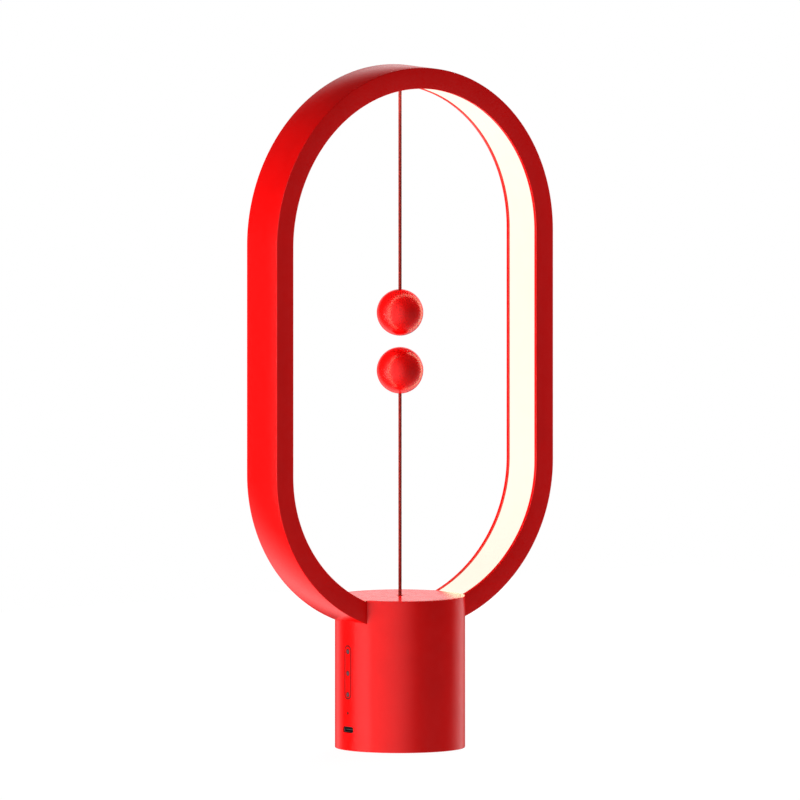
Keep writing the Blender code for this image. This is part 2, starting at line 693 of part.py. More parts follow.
def build_housing():
    """The drum's wall with its bosses, the slots for the band and the panel's openings."""
    low, high = HOUSING_BOTTOM, DRUM_TOP
    profile = [(DRUM_BORE, low), (DRUM_RADIUS - DRUM_EDGE, low), (DRUM_RADIUS, low + DRUM_EDGE),
               (DRUM_RADIUS, high - DRUM_EDGE), (DRUM_RADIUS - DRUM_EDGE, high), (DRUM_BORE, high)]
    housing = turned("base_housing", profile, RED_PLASTIC, DRUM_STEPS)
    boss_bottom = COVER_TOP + CLEARANCE
    bosses = [rod("boss", "Z", place, BOSS_RADIUS, boss_bottom, boss_bottom + BOTTOM_BOSS_HEIGHT)
              for place in bottom_screw_places()]
    post_end = BOARD_FACE - CLEARANCE
    post_root = -math.sqrt(DRUM_RADIUS ** 2 - (BOARD_SCREW_ACROSS + BOARD_POST_RADIUS) ** 2) + DRUM_EDGE
    boss_top = SADDLE_BOTTOM - CLEARANCE
    for side in (-1, 1):
        bosses.append(rod("boss", "Z", (0, side * BRACKET_SCREW_REACH), BOSS_RADIUS,
                          boss_top - BRACKET_BOSS_HEIGHT, boss_top))
        bosses.append(rod("post", "X", (side * BOARD_SCREW_ACROSS, BOARD_SCREW_HEIGHT),
                          BOARD_POST_RADIUS, post_root, post_end))
    join(housing, *bosses)
    hole = SCREW_RADIUS + CLEARANCE
    cutters = [rod("pilot", "Z", place, hole, boss_bottom - OVERRUN, boss_bottom + BOTTOM_SCREW_LENGTH)
               for place in bottom_screw_places()]
    for side in (-1, 1):
        cutters.append(rod("pilot", "Z", (0, side * BRACKET_SCREW_REACH), hole,
                           boss_top - BRACKET_SCREW_LENGTH, boss_top + OVERRUN))
        cutters.append(rod("pilot", "X", (side * BOARD_SCREW_ACROSS, BOARD_SCREW_HEIGHT), hole,
                           post_end - BOARD_SCREW_LENGTH, post_end + OVERRUN))
    cutters.append(band_clearance_tool("slot", -CLEARANCE, DRUM_TOP + OVERRUN, SLOT_HALF_DEPTH))
    outside, inside = -DRUM_RADIUS - OVERRUN, -DRUM_BORE + OVERRUN
    plate = rounded_slot((0, PLATE_MIDDLE), PLATE_WIDTH + 2 * CLEARANCE,
                         PLATE_HEIGHT + 2 * CLEARANCE, PLATE_WIDTH / 2 + CLEARANCE)
    port = rounded_slot((0, PORT_LEVEL), PORT_WIDTH, PORT_HEIGHT, PORT_CORNER)
    cutters.append(prism("plate_window", plate, "X", outside, inside))
    cutters.append(prism("port_window", port, "X", outside, inside))
    cutters.append(rod("pin_hole", "X", (0, PIN_HOLE_HEIGHT), PIN_HOLE_RADIUS, outside, inside, steps=STRING_STEPS))
    return cut(housing, *cutters)


def bottom_screw_places():
    """List where the bottom screws stand, evenly round their circle."""
    first = math.pi / BOTTOM_SCREW_COUNT
    turns = [first + math.tau * index / BOTTOM_SCREW_COUNT for index in range(BOTTOM_SCREW_COUNT)]
    return [(BOTTOM_SCREW_CIRCLE * math.cos(a), BOTTOM_SCREW_CIRCLE * math.sin(a)) for a in turns]


def build_top_cap():
    """The flat top, flush in the housing, with ears that fill the slots above the band."""
    hole = GUIDE_OUTER + CLEARANCE
    skirt_inner = CAP_RADIUS - CAP_SKIRT_THICKNESS
    skirt_bottom = CAP_UNDERSIDE - CAP_SKIRT_DEPTH
    profile = [(hole, CAP_UNDERSIDE), (hole, DRUM_TOP), (CAP_RADIUS, DRUM_TOP),
               (CAP_RADIUS, skirt_bottom), (skirt_inner, skirt_bottom), (skirt_inner, CAP_UNDERSIDE)]
    cap = turned("base_top_cap", profile, RED_PLASTIC, DRUM_STEPS)
    for side in (-1, 1):
        join(cap, cap_ear(side))
    span = DRUM_RADIUS + OVERRUN
    below = lower_outline(BAND_THICKNESS + CLEARANCE, span)
    below += [(span, skirt_bottom - OVERRUN - BAND_THICKNESS), (-span, skirt_bottom - OVERRUN - BAND_THICKNESS)]
    return cut(cap, prism("band_space", below, "Y", -SLOT_HALF_DEPTH, SLOT_HALF_DEPTH))


def cap_ear(side):
    """The part of the cap's plate that reaches the drum's outside between the slot's walls."""
    half = BAND_FACE
    reach = math.asin(half / DRUM_RADIUS)
    steps = SMALL_STEPS // 2
    angles = [reach * (2 * step / steps - 1) for step in range(steps + 1)]
    outline = [(side * DRUM_RADIUS * math.cos(a), DRUM_RADIUS * math.sin(a)) for a in angles]
    root = side * (math.sqrt(CAP_RADIUS ** 2 - half ** 2) - CAP_SKIRT_THICKNESS)
    outline += [(root, half), (root, -half)]
    return prism("ear", outline, "Z", CAP_UNDERSIDE, DRUM_TOP)


GUIDE_OUTER = GUIDE_SEAT.cup + GUIDE_WALL


def build_string_guide():
    """The bush in the cap's middle that guides the lower string's bead."""
    seat = GUIDE_SEAT
    top = DRUM_TOP - GUIDE_SET_BACK
    flange_top = CAP_UNDERSIDE - CLEARANCE
    flange_bottom = flange_top - GUIDE_FLANGE_THICKNESS
    bottom = LOWER_PIVOT - GUIDE_BEAD_RADIUS - SLIDER_TRAVEL - CLEARANCE
    profile = [(seat.mouth(top - LOWER_PIVOT), top)]
    profile += [(radius, LOWER_PIVOT + depth) for radius, depth in seat.cup_arc(CUP_STEPS)]
    profile += [(seat.cup, bottom), (GUIDE_OUTER, bottom), (GUIDE_OUTER, flange_bottom),
                (GUIDE_OUTER + GUIDE_FLANGE, flange_bottom), (GUIDE_OUTER + GUIDE_FLANGE, flange_top),
                (GUIDE_OUTER, flange_top), (GUIDE_OUTER, top)]
    return turned("lower_string_guide", profile, RED_PLASTIC, SMALL_STEPS)


def build_bottom_cover():
    """The disc under the drum, with the foot's groove and the sunk screw holes."""
    groove_top = FOOT_THICKNESS + CLEARANCE
    inner, outer = FOOT_INNER - CLEARANCE, FOOT_OUTER + CLEARANCE
    profile = [(0, COVER_TOP), (CAP_RADIUS, COVER_TOP), (CAP_RADIUS, HOUSING_BOTTOM),
               (outer, HOUSING_BOTTOM), (outer, groove_top), (inner, groove_top),
               (inner, HOUSING_BOTTOM), (0, HOUSING_BOTTOM)]
    cover = turned("bottom_cover", profile, BLACK_PLASTIC, DRUM_STEPS // 2)
    sunk_top = HOUSING_BOTTOM + SCREW_HEAD_HEIGHT + CLEARANCE
    cutters = []
    for place in bottom_screw_places():
        cutters.append(rod("hole", "Z", place, SCREW_RADIUS + CLEARANCE,
                           HOUSING_BOTTOM - OVERRUN, COVER_TOP + OVERRUN))
        cutters.append(rod("sink", "Z", place, SCREW_HEAD_RADIUS + CLEARANCE,
                           HOUSING_BOTTOM - OVERRUN, sunk_top))
    return cut(cover, *cutters)


def build_foot():
    profile = [(FOOT_INNER, 0), (FOOT_OUTER, 0), (FOOT_OUTER, FOOT_THICKNESS), (FOOT_INNER, FOOT_THICKNESS)]
    return turned("foot_ring", profile, BLACK_RUBBER, DRUM_STEPS // 2)


def build_ballast():
    """The steel disc that keeps the lamp from tipping, bonded to the bottom cover."""
    profile = [(BALLAST_HOLE, BALLAST_BOTTOM), (BALLAST_RADIUS, BALLAST_BOTTOM),
               (BALLAST_RADIUS, BALLAST_TOP), (BALLAST_HOLE, BALLAST_TOP)]
    return turned("ballast_disc", profile, STEEL, DRUM_STEPS // 2)


def screw(name, place, direction, shank):
    """A pan head screw whose head's underside is at the place and whose shank points away from it."""
    profile = [(0, SCREW_HEAD_HEIGHT - SCREW_DRIVE_DEPTH),
               (SCREW_DRIVE_RADIUS, SCREW_HEAD_HEIGHT - SCREW_DRIVE_DEPTH),
               (SCREW_DRIVE_RADIUS, SCREW_HEAD_HEIGHT),
               (SCREW_HEAD_RADIUS - CLEARANCE, SCREW_HEAD_HEIGHT),
               (SCREW_HEAD_RADIUS, SCREW_HEAD_HEIGHT / 2), (SCREW_HEAD_RADIUS, 0),
               (SCREW_RADIUS, 0), (SCREW_RADIUS, -shank), (0, -shank)]
    piece = turned(name, profile, STEEL, SCREW_STEPS)
    return aim_along(piece, direction, place)


def build_screws():
    """All the screws of the lamp, each in its own hole."""
    head_level = HOUSING_BOTTOM + SCREW_HEAD_HEIGHT
    for index, (across, depth) in enumerate(bottom_screw_places(), start=1):
        shank = COVER_THICKNESS + BOTTOM_SCREW_LENGTH - SCREW_HEAD_HEIGHT - CLEARANCE
        screw(f"bottom_screw_{index}", (across, depth, head_level), (0, 0, -1), shank)
    bar_top = SADDLE_BOTTOM + BAR_THICKNESS + CLEARANCE
    frame_level = outline_height(BAND_WALL, FRAME_SCREW_ACROSS + SCREW_HEAD_RADIUS) + CLEARANCE
    board_back = BOARD_FACE + BOARD_THICKNESS + CLEARANCE
    for index, side in enumerate((-1, 1), start=1):
        screw(f"bracket_screw_{index}", (0, side * BRACKET_SCREW_REACH, bar_top), (0, 0, 1),
              BAR_THICKNESS + BRACKET_SCREW_LENGTH - CLEARANCE)
        screw(f"frame_screw_{index}", (side * FRAME_SCREW_ACROSS, 0, frame_level), (0, 0, 1),
              FRAME_SCREW_LENGTH)
        screw(f"board_screw_{index}", (board_back, side * BOARD_SCREW_ACROSS, BOARD_SCREW_HEIGHT),
              (1, 0, 0), BOARD_THICKNESS + BOARD_SCREW_LENGTH - CLEARANCE)


# The panel: button plate, buttons, board, light and socket

def build_button_plate():
    """The pill shaped plate, its face curved with the drum and a flange behind the wall."""
    back = -DRUM_BORE + CLEARANCE + PLATE_WIDTH ** 2 / (4 * DRUM_BORE)
    corner = PLATE_WIDTH / 2
    face = rounded_slot((0, PLATE_MIDDLE), PLATE_WIDTH, PLATE_HEIGHT, corner)
    plate = prism("button_bezel", face, "X", -DRUM_RADIUS - OVERRUN, back, RED_PLASTIC)
    flange = rounded_slot((0, PLATE_MIDDLE), PLATE_WIDTH + 2 * PLATE_FLANGE,
                          PLATE_HEIGHT + 2 * PLATE_FLANGE, corner + PLATE_FLANGE)
    join(plate, prism("flange", flange, "X", back, back + PLATE_FLANGE_THICKNESS))
    drum = turned("drum", [(0, 0), (DRUM_RADIUS, 0), (DRUM_RADIUS, DRUM_TOP), (0, DRUM_TOP)],
                  RED_PLASTIC, DRUM_STEPS)
    combine(plate, [drum], "INTERSECT")
    holes = [rod("hole", "X", (0, height), BUTTON_RADIUS + CLEARANCE, -DRUM_RADIUS - OVERRUN, 0)
             for height in BUTTON_HEIGHTS.values()]
    return cut(plate, *holes), back + PLATE_FLANGE_THICKNESS


def build_button(label, height, plate_back):
    """A button with its retaining flange and the stem that reaches the push switch."""
    face = DRUM_RADIUS + BUTTON_PROUD
    flange_front = -plate_back - CLEARANCE
    flange_back = flange_front - BUTTON_FLANGE_THICKNESS
    stem_end = -BOARD_FACE + CLEARANCE + TACT_THICKNESS + CLEARANCE + BUTTON_TRAVEL
    profile = [(0, face), (BUTTON_RADIUS - BUTTON_PROUD, face), (BUTTON_RADIUS, face - BUTTON_PROUD),
               (BUTTON_RADIUS, flange_front), (BUTTON_FLANGE_RADIUS, flange_front),
               (BUTTON_FLANGE_RADIUS, flange_back), (BUTTON_STEM_RADIUS, flange_back),
               (BUTTON_STEM_RADIUS, stem_end), (0, stem_end)]
    cap = turned(f"button_{label}", profile, GREY_RUBBER, SMALL_STEPS)
    aim_along(cap, (-1, 0, 0), (0, 0, height))
    return hang(cap, pivot(f"button_{label}_slide", (-face, 0, height)))


def build_board():
    """The control board, upright behind the panel, with its two screw holes."""
    board = box("control_board", (BOARD_FACE, BOARD_FACE + BOARD_THICKNESS),
                (-BOARD_HALF_WIDTH, BOARD_HALF_WIDTH), (BOARD_BOTTOM, BOARD_TOP), BOARD_GREEN)
    holes = [rod("hole", "X", (side * BOARD_SCREW_ACROSS, BOARD_SCREW_HEIGHT),
                 SCREW_RADIUS + CLEARANCE, BOARD_FACE - OVERRUN, BOARD_FACE + OVERRUN)
             for side in (-1, 1)]
    cut(board, *holes)
    front = BOARD_FACE - CLEARANCE
    for label, height in BUTTON_HEIGHTS.items():
        box(f"push_switch_{label}", (front - TACT_THICKNESS, front), (-TACT_HALF, TACT_HALF),
            (height - TACT_HALF, height + TACT_HALF), BLACK_PLASTIC)
    box("indicator_light", (front - LIGHT_THICKNESS, front), (-LIGHT_HALF, LIGHT_HALF),
        (PIN_HOLE_HEIGHT - LIGHT_HALF, PIN_HOLE_HEIGHT + LIGHT_HALF), WHITE_PLASTIC)


def build_socket():
    """The socket's metal shell and the insulating tongue inside it."""
    mouth = PORT_SET_BACK - DRUM_RADIUS
    root = BOARD_FACE - CLEARANCE
    centre = (0, PORT_LEVEL)
    width, height = PORT_WIDTH - 2 * CLEARANCE, PORT_HEIGHT - 2 * CLEARANCE
    corner = PORT_CORNER - CLEARANCE
    shell = prism("socket_shell", rounded_slot(centre, width, height, corner), "X", mouth, root, NICKEL)
    inner_width, inner_height = width - 2 * PORT_SHELL_WALL, height - 2 * PORT_SHELL_WALL
    inner = rounded_slot(centre, inner_width, inner_height, corner - PORT_SHELL_WALL)
    cut(shell, prism("bore", inner, "X", mouth - OVERRUN, root + OVERRUN))
    front = mouth + TONGUE_SET_BACK
    back = front + TONGUE_LENGTH
    tongue = box("socket_tongue", (front, root), (-TONGUE_WIDTH / 2, TONGUE_WIDTH / 2),
                 (PORT_LEVEL - TONGUE_THICKNESS / 2, PORT_LEVEL + TONGUE_THICKNESS / 2), BLACK_PLASTIC)
    block = rounded_slot(centre, inner_width - 2 * CLEARANCE, inner_height - 2 * CLEARANCE,
                         corner - PORT_SHELL_WALL - CLEARANCE)
    return join(tongue, prism("block", block, "X", back, root))


# The mechanism: bracket, slider, spring and microswitch

def build_bracket():
    """The bridge in the drum that carries the band, guides the slider and holds the switch."""
    saddle = lower_outline(-CLEARANCE, SADDLE_HALF_LENGTH)
    saddle += [(SADDLE_HALF_LENGTH, SADDLE_BOTTOM), (-SADDLE_HALF_LENGTH, SADDLE_BOTTOM)]
    bracket = prism("mechanism_bracket", saddle, "Y", -SADDLE_HALF_DEPTH, SADDLE_HALF_DEPTH, BLACK_PLASTIC)
    outside = CHEEK_INSIDE + CHEEK_THICKNESS
    into_saddle = SADDLE_BOTTOM + BAR_THICKNESS
    join(bracket,
         box("bar", (-BAR_HALF_WIDTH, BAR_HALF_WIDTH), (-BAR_REACH, BAR_REACH), (SADDLE_BOTTOM, into_saddle)),
         box("cheek", (CHEEK_LOW, CHEEK_HIGH), (-outside, -CHEEK_INSIDE), (FLOOR_BOTTOM, into_saddle)),
         box("cheek", (CHEEK_LOW, CHEEK_HIGH), (CHEEK_INSIDE, outside), (FLOOR_BOTTOM, into_saddle)),
         box("floor", (CHEEK_LOW, CHEEK_HIGH), (-outside, outside), (FLOOR_BOTTOM, FLOOR_TOP)))
    hole = SCREW_RADIUS + CLEARANCE
    pilot_bottom = SADDLE_BOTTOM + CLEARANCE
    cutters = [rod("stem_bore", "Z", (0, 0), STEM_RADIUS + CLEARANCE, FLOOR_BOTTOM - OVERRUN, DRUM_TOP)]
    for side in (-1, 1):
        cutters.append(rod("pilot", "Z", (side * FRAME_SCREW_ACROSS, 0), hole, pilot_bottom, DRUM_TOP))
        cutters.append(rod("hole", "Z", (0, side * BRACKET_SCREW_REACH), hole,
                           SADDLE_BOTTOM - OVERRUN, into_saddle + OVERRUN))
    return cut(bracket, *cutters)


def build_slider(joint):
    """The plunger that the lower string lifts, with the finger that works the microswitch."""
    profile = [(0, STEM_BOTTOM), (STEM_RADIUS, STEM_BOTTOM), (STEM_RADIUS, FLANGE_BOTTOM),
               (FLANGE_RADIUS, FLANGE_BOTTOM), (FLANGE_RADIUS, FLANGE_TOP),
               (STEM_RADIUS, FLANGE_TOP), (STEM_RADIUS, STEM_TOP), (0, STEM_TOP)]
    slider = turned("switch_slider", profile, WHITE_PLASTIC, SMALL_STEPS)
    finger_end = SWITCH_MIDDLE + FINGER_WIDTH / 2
    post_top = LEVER_UNDERSIDE - CLEARANCE
    join(slider,
         box("finger", (STEM_RADIUS / 2, finger_end),
             (FINGER_PLACE - FINGER_WIDTH / 2, FINGER_PLACE + FINGER_WIDTH / 2),
             (FLANGE_BOTTOM + FLANGE_THICKNESS / 4, FLANGE_TOP - FLANGE_THICKNESS / 4)),
         box("post", (SWITCH_MIDDLE - FINGER_WIDTH / 2, finger_end),
             (FINGER_PLACE - FINGER_POST_WIDTH / 2, FINGER_PLACE + FINGER_POST_WIDTH / 2),
             (FLANGE_BOTTOM + FLANGE_THICKNESS / 2, post_top)))
    hang(slider, joint)
    tail_bottom, tail_top = STEM_TOP + CLEARANCE, LOWER_PIVOT - GUIDE_BEAD_RADIUS - CLEARANCE
    hang(rod("lower_string_tail", "Z", (0, 0), STRING_RADIUS, tail_bottom, tail_top, RED_STRING, STRING_STEPS), joint)


def build_spring():
    """The return spring round the slider's stem, one wire with closed ends."""
    low = FLANGE_TOP + CLEARANCE + SPRING_WIRE
    high = SADDLE_BOTTOM - CLEARANCE - SPRING_WIRE
    count = SPRING_TURNS * SPRING_STEPS
    route = []
    for step in range(count + 1):
        angle = math.tau * step / SPRING_STEPS
        rise = low + (high - low) * step / count
        route.append((SPRING_RADIUS * math.cos(angle), SPRING_RADIUS * math.sin(angle), rise))
    return tube("return_spring", route, SPRING_WIRE, STEEL)


def build_microswitch():
    """The switch under the saddle, with three terminals, and its spring steel lever."""
    body = box("microswitch_body", (SWITCH_LOW, SWITCH_HIGH),
               (-SWITCH_HALF_LENGTH, SWITCH_HALF_LENGTH), (SWITCH_BOTTOM, SWITCH_TOP), BLACK_PLASTIC)
    middle = (SWITCH_BOTTOM + SWITCH_TOP) / 2
    terminals = [box("terminal", (SWITCH_HIGH - TERMINAL_THICKNESS, SWITCH_HIGH + TERMINAL_LENGTH),
                     (place - TERMINAL_WIDTH / 2, place + TERMINAL_WIDTH / 2),
                     (middle - TERMINAL_THICKNESS / 2, middle + TERMINAL_THICKNESS / 2))
                 for place in (-TERMINAL_PITCH, 0, TERMINAL_PITCH)]
    join(body, *terminals)
    side = (SWITCH_MIDDLE - LEVER_WIDTH / 2, SWITCH_MIDDLE + LEVER_WIDTH / 2)
    lever = box("microswitch_lever", side, (LEVER_AXIS[1], FINGER_PLACE + LEVER_OVERHANG),
                (LEVER_UNDERSIDE, LEVER_UNDERSIDE + LEVER_THICKNESS), STEEL)
    join(lever, rod("barrel", "X", LEVER_AXIS[1:], LEVER_BARREL_RADIUS, *side, steps=STRING_STEPS))
    return hang(lever, pivot("microswitch_lever_hinge", LEVER_AXIS))


# The balls and strings

POCKET_WALL = 2.5 * MM
MAGNET_RADIUS = 5.0 * MM
MAGNET_THICKNESS = 8.0 * MM
STRING_GRIP = 5.5 * MM


def build_ball(label, height, joint, up):
    """A ball: shell with a blind pocket, the magnet at the pocket's floor, the plug behind it.

    The pocket opens on the string's side, up for the upper ball and down for the lower one.
    """
    pocket = MAGNET_RADIUS + CLEARANCE
    floor = POCKET_WALL - BALL_RADIUS
    rim = math.acos(pocket / BALL_RADIUS)
    shell = arc(BALL_RADIUS, -math.pi / 2, rim, BALL_RINGS) + [(pocket, floor), (0, floor)]
    shell[0] = (0, -BALL_RADIUS)
    magnet_low = floor + CLEARANCE
    magnet_high = magnet_low + MAGNET_THICKNESS
    magnet = [(0, magnet_low), (MAGNET_RADIUS, magnet_low),
              (MAGNET_RADIUS, magnet_high), (0, magnet_high)]
    hole = STRING_RADIUS + CLEARANCE
    grip_floor = BALL_RADIUS - STRING_GRIP - CLEARANCE
    plug_edge = math.acos(MAGNET_RADIUS / BALL_RADIUS)
    hole_edge = math.acos(hole / BALL_RADIUS)
    plug = [(0, magnet_high + CLEARANCE), (MAGNET_RADIUS, magnet_high + CLEARANCE)]
    plug += arc(BALL_RADIUS, plug_edge, hole_edge, CUP_STEPS) + [(hole, grip_floor), (0, grip_floor)]
    pieces = [turned(f"{label}_ball_shell", shell, RED_GLOSS, BALL_STEPS),
              turned(f"{label}_ball_magnet", magnet, NICKEL, SMALL_STEPS),
              turned(f"{label}_ball_plug", plug, RED_GLOSS, SMALL_STEPS)]
    direction = (0, 0, 1) if up else (0, 0, -1)
    for piece in pieces:
        if not up:
            piece.data.transform(Matrix.Rotation(math.pi, 4, "X"))
        piece.data.transform(Matrix.Translation((0, 0, height)))
        hang(piece, joint)
    return height + direction[2] * (BALL_RADIUS - STRING_GRIP)


def build_bead(name, height, radius, joint):
    """The bead clamped on a string's end, which turns in its cup."""
    profile = arc(radius, -math.pi / 2, math.pi / 2, BEAD_RINGS)
    profile[0] = (0, -radius)
    profile[-1] = (0, radius)
    return hang(turned(name, raised(profile, height), BRASS, SMALL_STEPS), joint)


def build_upper_ball():
    sway = pivot("upper_sway", (0, 0, UPPER_PIVOT))
    build_bead("upper_string_bead", UPPER_PIVOT, ANCHOR_BEAD_RADIUS, sway)
    swing = pivot("upper_swing", (0, 0, UPPER_PIVOT), sway)
    grip = build_ball("upper", UPPER_BALL_HEIGHT, swing, True)
    top = UPPER_PIVOT - ANCHOR_BEAD_RADIUS - CLEARANCE
    hang(rod("upper_string", "Z", (0, 0), STRING_RADIUS, grip, top, RED_STRING, STRING_STEPS), swing)


def build_lower_ball():
    slide = pivot("slider_slide", (0, 0, FLANGE_TOP))
    build_slider(slide)
    sway = pivot("lower_sway", (0, 0, LOWER_PIVOT), slide)
    build_bead("lower_string_bead", LOWER_PIVOT, GUIDE_BEAD_RADIUS, sway)
    swing = pivot("lower_swing", (0, 0, LOWER_PIVOT), sway)
    grip = build_ball("lower", LOWER_BALL_HEIGHT, swing, False)
    bottom = LOWER_PIVOT + GUIDE_BEAD_RADIUS + CLEARANCE
    hang(rod("lower_string", "Z", (0, 0), STRING_RADIUS, bottom, grip, RED_STRING, STRING_STEPS), swing)


# The leads inside the drum and the band

LEAD_SAMPLES = 3
LEAD_FLOOR_GAP = 1.0 * MM
LEAD_END_GAP = 2.0 * MM
LEAD_RISE = 1.4 * MM
STRIP_PAD_DEPTH = 2.5 * MM
LEAD_PAST_SCREW = 5.0 * MM
FLOOR_RUN_REACH = FRAME_SCREW_ACROSS + LEAD_PAST_SCREW
FLOOR_RUN_SHARES = (1.0, 0.5, 0.0, -0.5, -0.9)
SWITCH_LEAD_LEVEL = 50.0 * MM
SWITCH_LEAD_DEPTH = 2.0 * MM
SWITCH_LEAD_ROUTE = ((18.5 * MM, 3.0 * MM, 55.5 * MM), (18.5 * MM, 11.0 * MM, 50.0 * MM),
                     (8.0 * MM, 16.0 * MM, 45.0 * MM), (-8.0 * MM, 15.0 * MM, 42.5 * MM),
                     (-18.0 * MM, 7.0 * MM, 48.0 * MM), (-21.5 * MM, 3.0 * MM, 50.0 * MM))


def build_leads():
    """Three thin leads: one to each light strip, through the band's floor, and one to the switch."""
    hole_level = outline_height(BAND_WALL, WIRE_HOLE_ACROSS)
    pad_level = outline_height(STRIP_FRONT, STRIP_END_ACROSS) + LEAD_RISE
    pad_across = STRIP_END_ACROSS - LEAD_END_GAP
    down = [(-WIRE_HOLE_ACROSS, hole_level + LEAD_END_GAP), (-WIRE_HOLE_ACROSS, hole_level - BAND_WALL),
            (-WIRE_HOLE_ACROSS, BOARD_TOP + CLEARANCE + WIRE_RADIUS)]
    turn_in = ((-pad_across - WIRE_HOLE_ACROSS) / 2, (STRIP_PAD_DEPTH + WIRE_HOLE_DEPTH) / 2, pad_level)
    left = [(-pad_across, STRIP_PAD_DEPTH, pad_level), turn_in]
    left += [(across, WIRE_HOLE_DEPTH, level) for across, level in down]
    tube("light_lead_left", smooth_route(left, LEAD_SAMPLES), WIRE_RADIUS, WIRE_RED)
    run_places = [share * FLOOR_RUN_REACH for share in FLOOR_RUN_SHARES]
    floor_run = [(across, outline_height(BAND_WALL, across) + WIRE_RADIUS + LEAD_FLOOR_GAP)
                 for across in run_places]
    right = [(pad_across, -STRIP_PAD_DEPTH, pad_level), (-turn_in[0], -turn_in[1], pad_level)]
    right += [(across, -WIRE_HOLE_DEPTH, level) for across, level in floor_run + down]
    tube("light_lead_right", smooth_route(right, LEAD_SAMPLES), WIRE_RADIUS, WIRE_RED)
    board_back = BOARD_FACE + BOARD_THICKNESS + CLEARANCE
    terminal = (SWITCH_HIGH + TERMINAL_LENGTH + CLEARANCE, 0, (SWITCH_BOTTOM + SWITCH_TOP) / 2)
    route = [terminal, *SWITCH_LEAD_ROUTE, (board_back, SWITCH_LEAD_DEPTH, SWITCH_LEAD_LEVEL)]
    tube("switch_lead", smooth_route(route, LEAD_SAMPLES), WIRE_RADIUS, WIRE_RED)


build_front_shell()
build_rear_cover()
build_diffuser()
build_light_strip(-1, "light_strip_left")
build_light_strip(1, "light_strip_right")
build_string_anchor()
build_housing()
build_top_cap()
build_string_guide()
build_bottom_cover()
build_foot()
build_ballast()
build_screws()
_, PLATE_BACK = build_button_plate()
for BUTTON_LABEL, BUTTON_LEVEL in BUTTON_HEIGHTS.items():
    build_button(BUTTON_LABEL, BUTTON_LEVEL, PLATE_BACK)
build_board()
build_socket()
build_bracket()
build_spring()
build_microswitch()
build_upper_ball()
build_lower_ball()
build_leads()
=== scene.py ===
# %% [markdown]
# A magnetic balance lamp: an oval light band stands on a drum, and two balls on strings pull at
# each other across a small gap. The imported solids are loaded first, because the finished pieces are
# measured from them and must end up exactly where they are.

# %% Load the frame
import json
import math

import bmesh
import bpy
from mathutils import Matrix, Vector


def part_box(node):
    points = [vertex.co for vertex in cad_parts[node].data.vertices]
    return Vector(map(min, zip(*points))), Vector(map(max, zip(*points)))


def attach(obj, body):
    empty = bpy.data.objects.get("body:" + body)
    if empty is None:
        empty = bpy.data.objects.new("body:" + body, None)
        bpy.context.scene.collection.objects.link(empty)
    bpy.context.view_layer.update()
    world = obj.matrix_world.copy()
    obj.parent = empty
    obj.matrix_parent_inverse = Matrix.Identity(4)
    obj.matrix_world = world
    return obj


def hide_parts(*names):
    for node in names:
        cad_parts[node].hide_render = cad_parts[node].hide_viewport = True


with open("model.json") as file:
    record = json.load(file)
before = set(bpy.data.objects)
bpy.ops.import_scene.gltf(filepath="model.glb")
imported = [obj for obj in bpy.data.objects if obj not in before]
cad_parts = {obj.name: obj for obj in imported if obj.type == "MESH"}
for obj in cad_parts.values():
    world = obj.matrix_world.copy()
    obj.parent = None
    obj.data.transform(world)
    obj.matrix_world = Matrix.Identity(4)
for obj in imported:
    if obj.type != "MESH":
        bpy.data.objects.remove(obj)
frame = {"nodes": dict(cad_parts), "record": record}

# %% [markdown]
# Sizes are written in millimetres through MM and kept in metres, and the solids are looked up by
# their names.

MM = 0.001
nodes = frame["nodes"]
bpy.context.view_layer.update()

# %% [markdown]
# The photograph was taken with almost parallel rays, so an orthographic camera matches it better
# than a lens. Its direction is given as two angles, round the lamp and up, and its frame is as many
# metres wide as the photograph is.

# %% Camera
VIEW_ROUND = math.radians(-36.53)
VIEW_UP = math.radians(5.47)
FRAME_WIDTH = 0.46493
AIM_HEIGHT = 203.12 * MM
CAMERA_DISTANCE = 2.0

towards_camera = Vector((math.sin(VIEW_ROUND) * math.cos(VIEW_UP),
                         -math.cos(VIEW_ROUND) * math.cos(VIEW_UP), math.sin(VIEW_UP)))
aim = Vector((0, 0, AIM_HEIGHT))
bpy.ops.object.camera_add(location=aim + towards_camera * CAMERA_DISTANCE)
camera = bpy.context.active_object
camera.name = "camera"
camera.rotation_euler = towards_camera.to_track_quat("Z", "Y").to_euler()
camera.data.type = "ORTHO"
camera.data.ortho_scale = FRAME_WIDTH
bpy.context.scene.camera = camera
bpy.context.scene.view_settings.view_transform = "Standard"
print("camera looks along", [round(v, 3) for v in -towards_camera])

# %% [markdown]
# The background is pure white, but the faces turned to the camera reflect something dark. A product
# studio does that with a lit wall and table behind the object and black cloth round the camera. The
# world does the same here. What a reflection sees gets brighter from front to back and downwards,
# and a white screen left of the camera adds the broad sheen on the drum. A black card right behind
# the lamp gives round pieces their fine dark rim. Diffuse light comes mostly from the pale table
# below, and the camera itself sees white.

# %% World
WALL_DIRECTION = (0.62, 0.57, -0.54)
WALL_START, WALL_FULL = 0.30, 0.88
WALL_LIGHT = 1.0
SCREEN_DIRECTION = (-0.935, -0.347, 0.0)
SCREEN_START, SCREEN_FULL = 0.35, 1.0
SCREEN_LIGHT = 1.2
DARK_SIDE = 0.03
CARD_START, CARD_FULL = 0.78, 0.985
CARD_LOW, CARD_TOP = -0.06, 0.03
CARD_LIGHT = 0.06
LIGHT_ABOVE = 0.27
LIGHT_BELOW = 0.82
LIGHT_BLEND = 0.25

world = bpy.data.worlds.new("studio")
bpy.context.scene.world = world
world.use_nodes = True
tree = world.node_tree
background = tree.nodes["Background"]
background.inputs["Color"].default_value = (1.0, 1.0, 1.0, 1.0)
direction = tree.nodes.new("ShaderNodeTexCoord")
rays = tree.nodes.new("ShaderNodeLightPath")


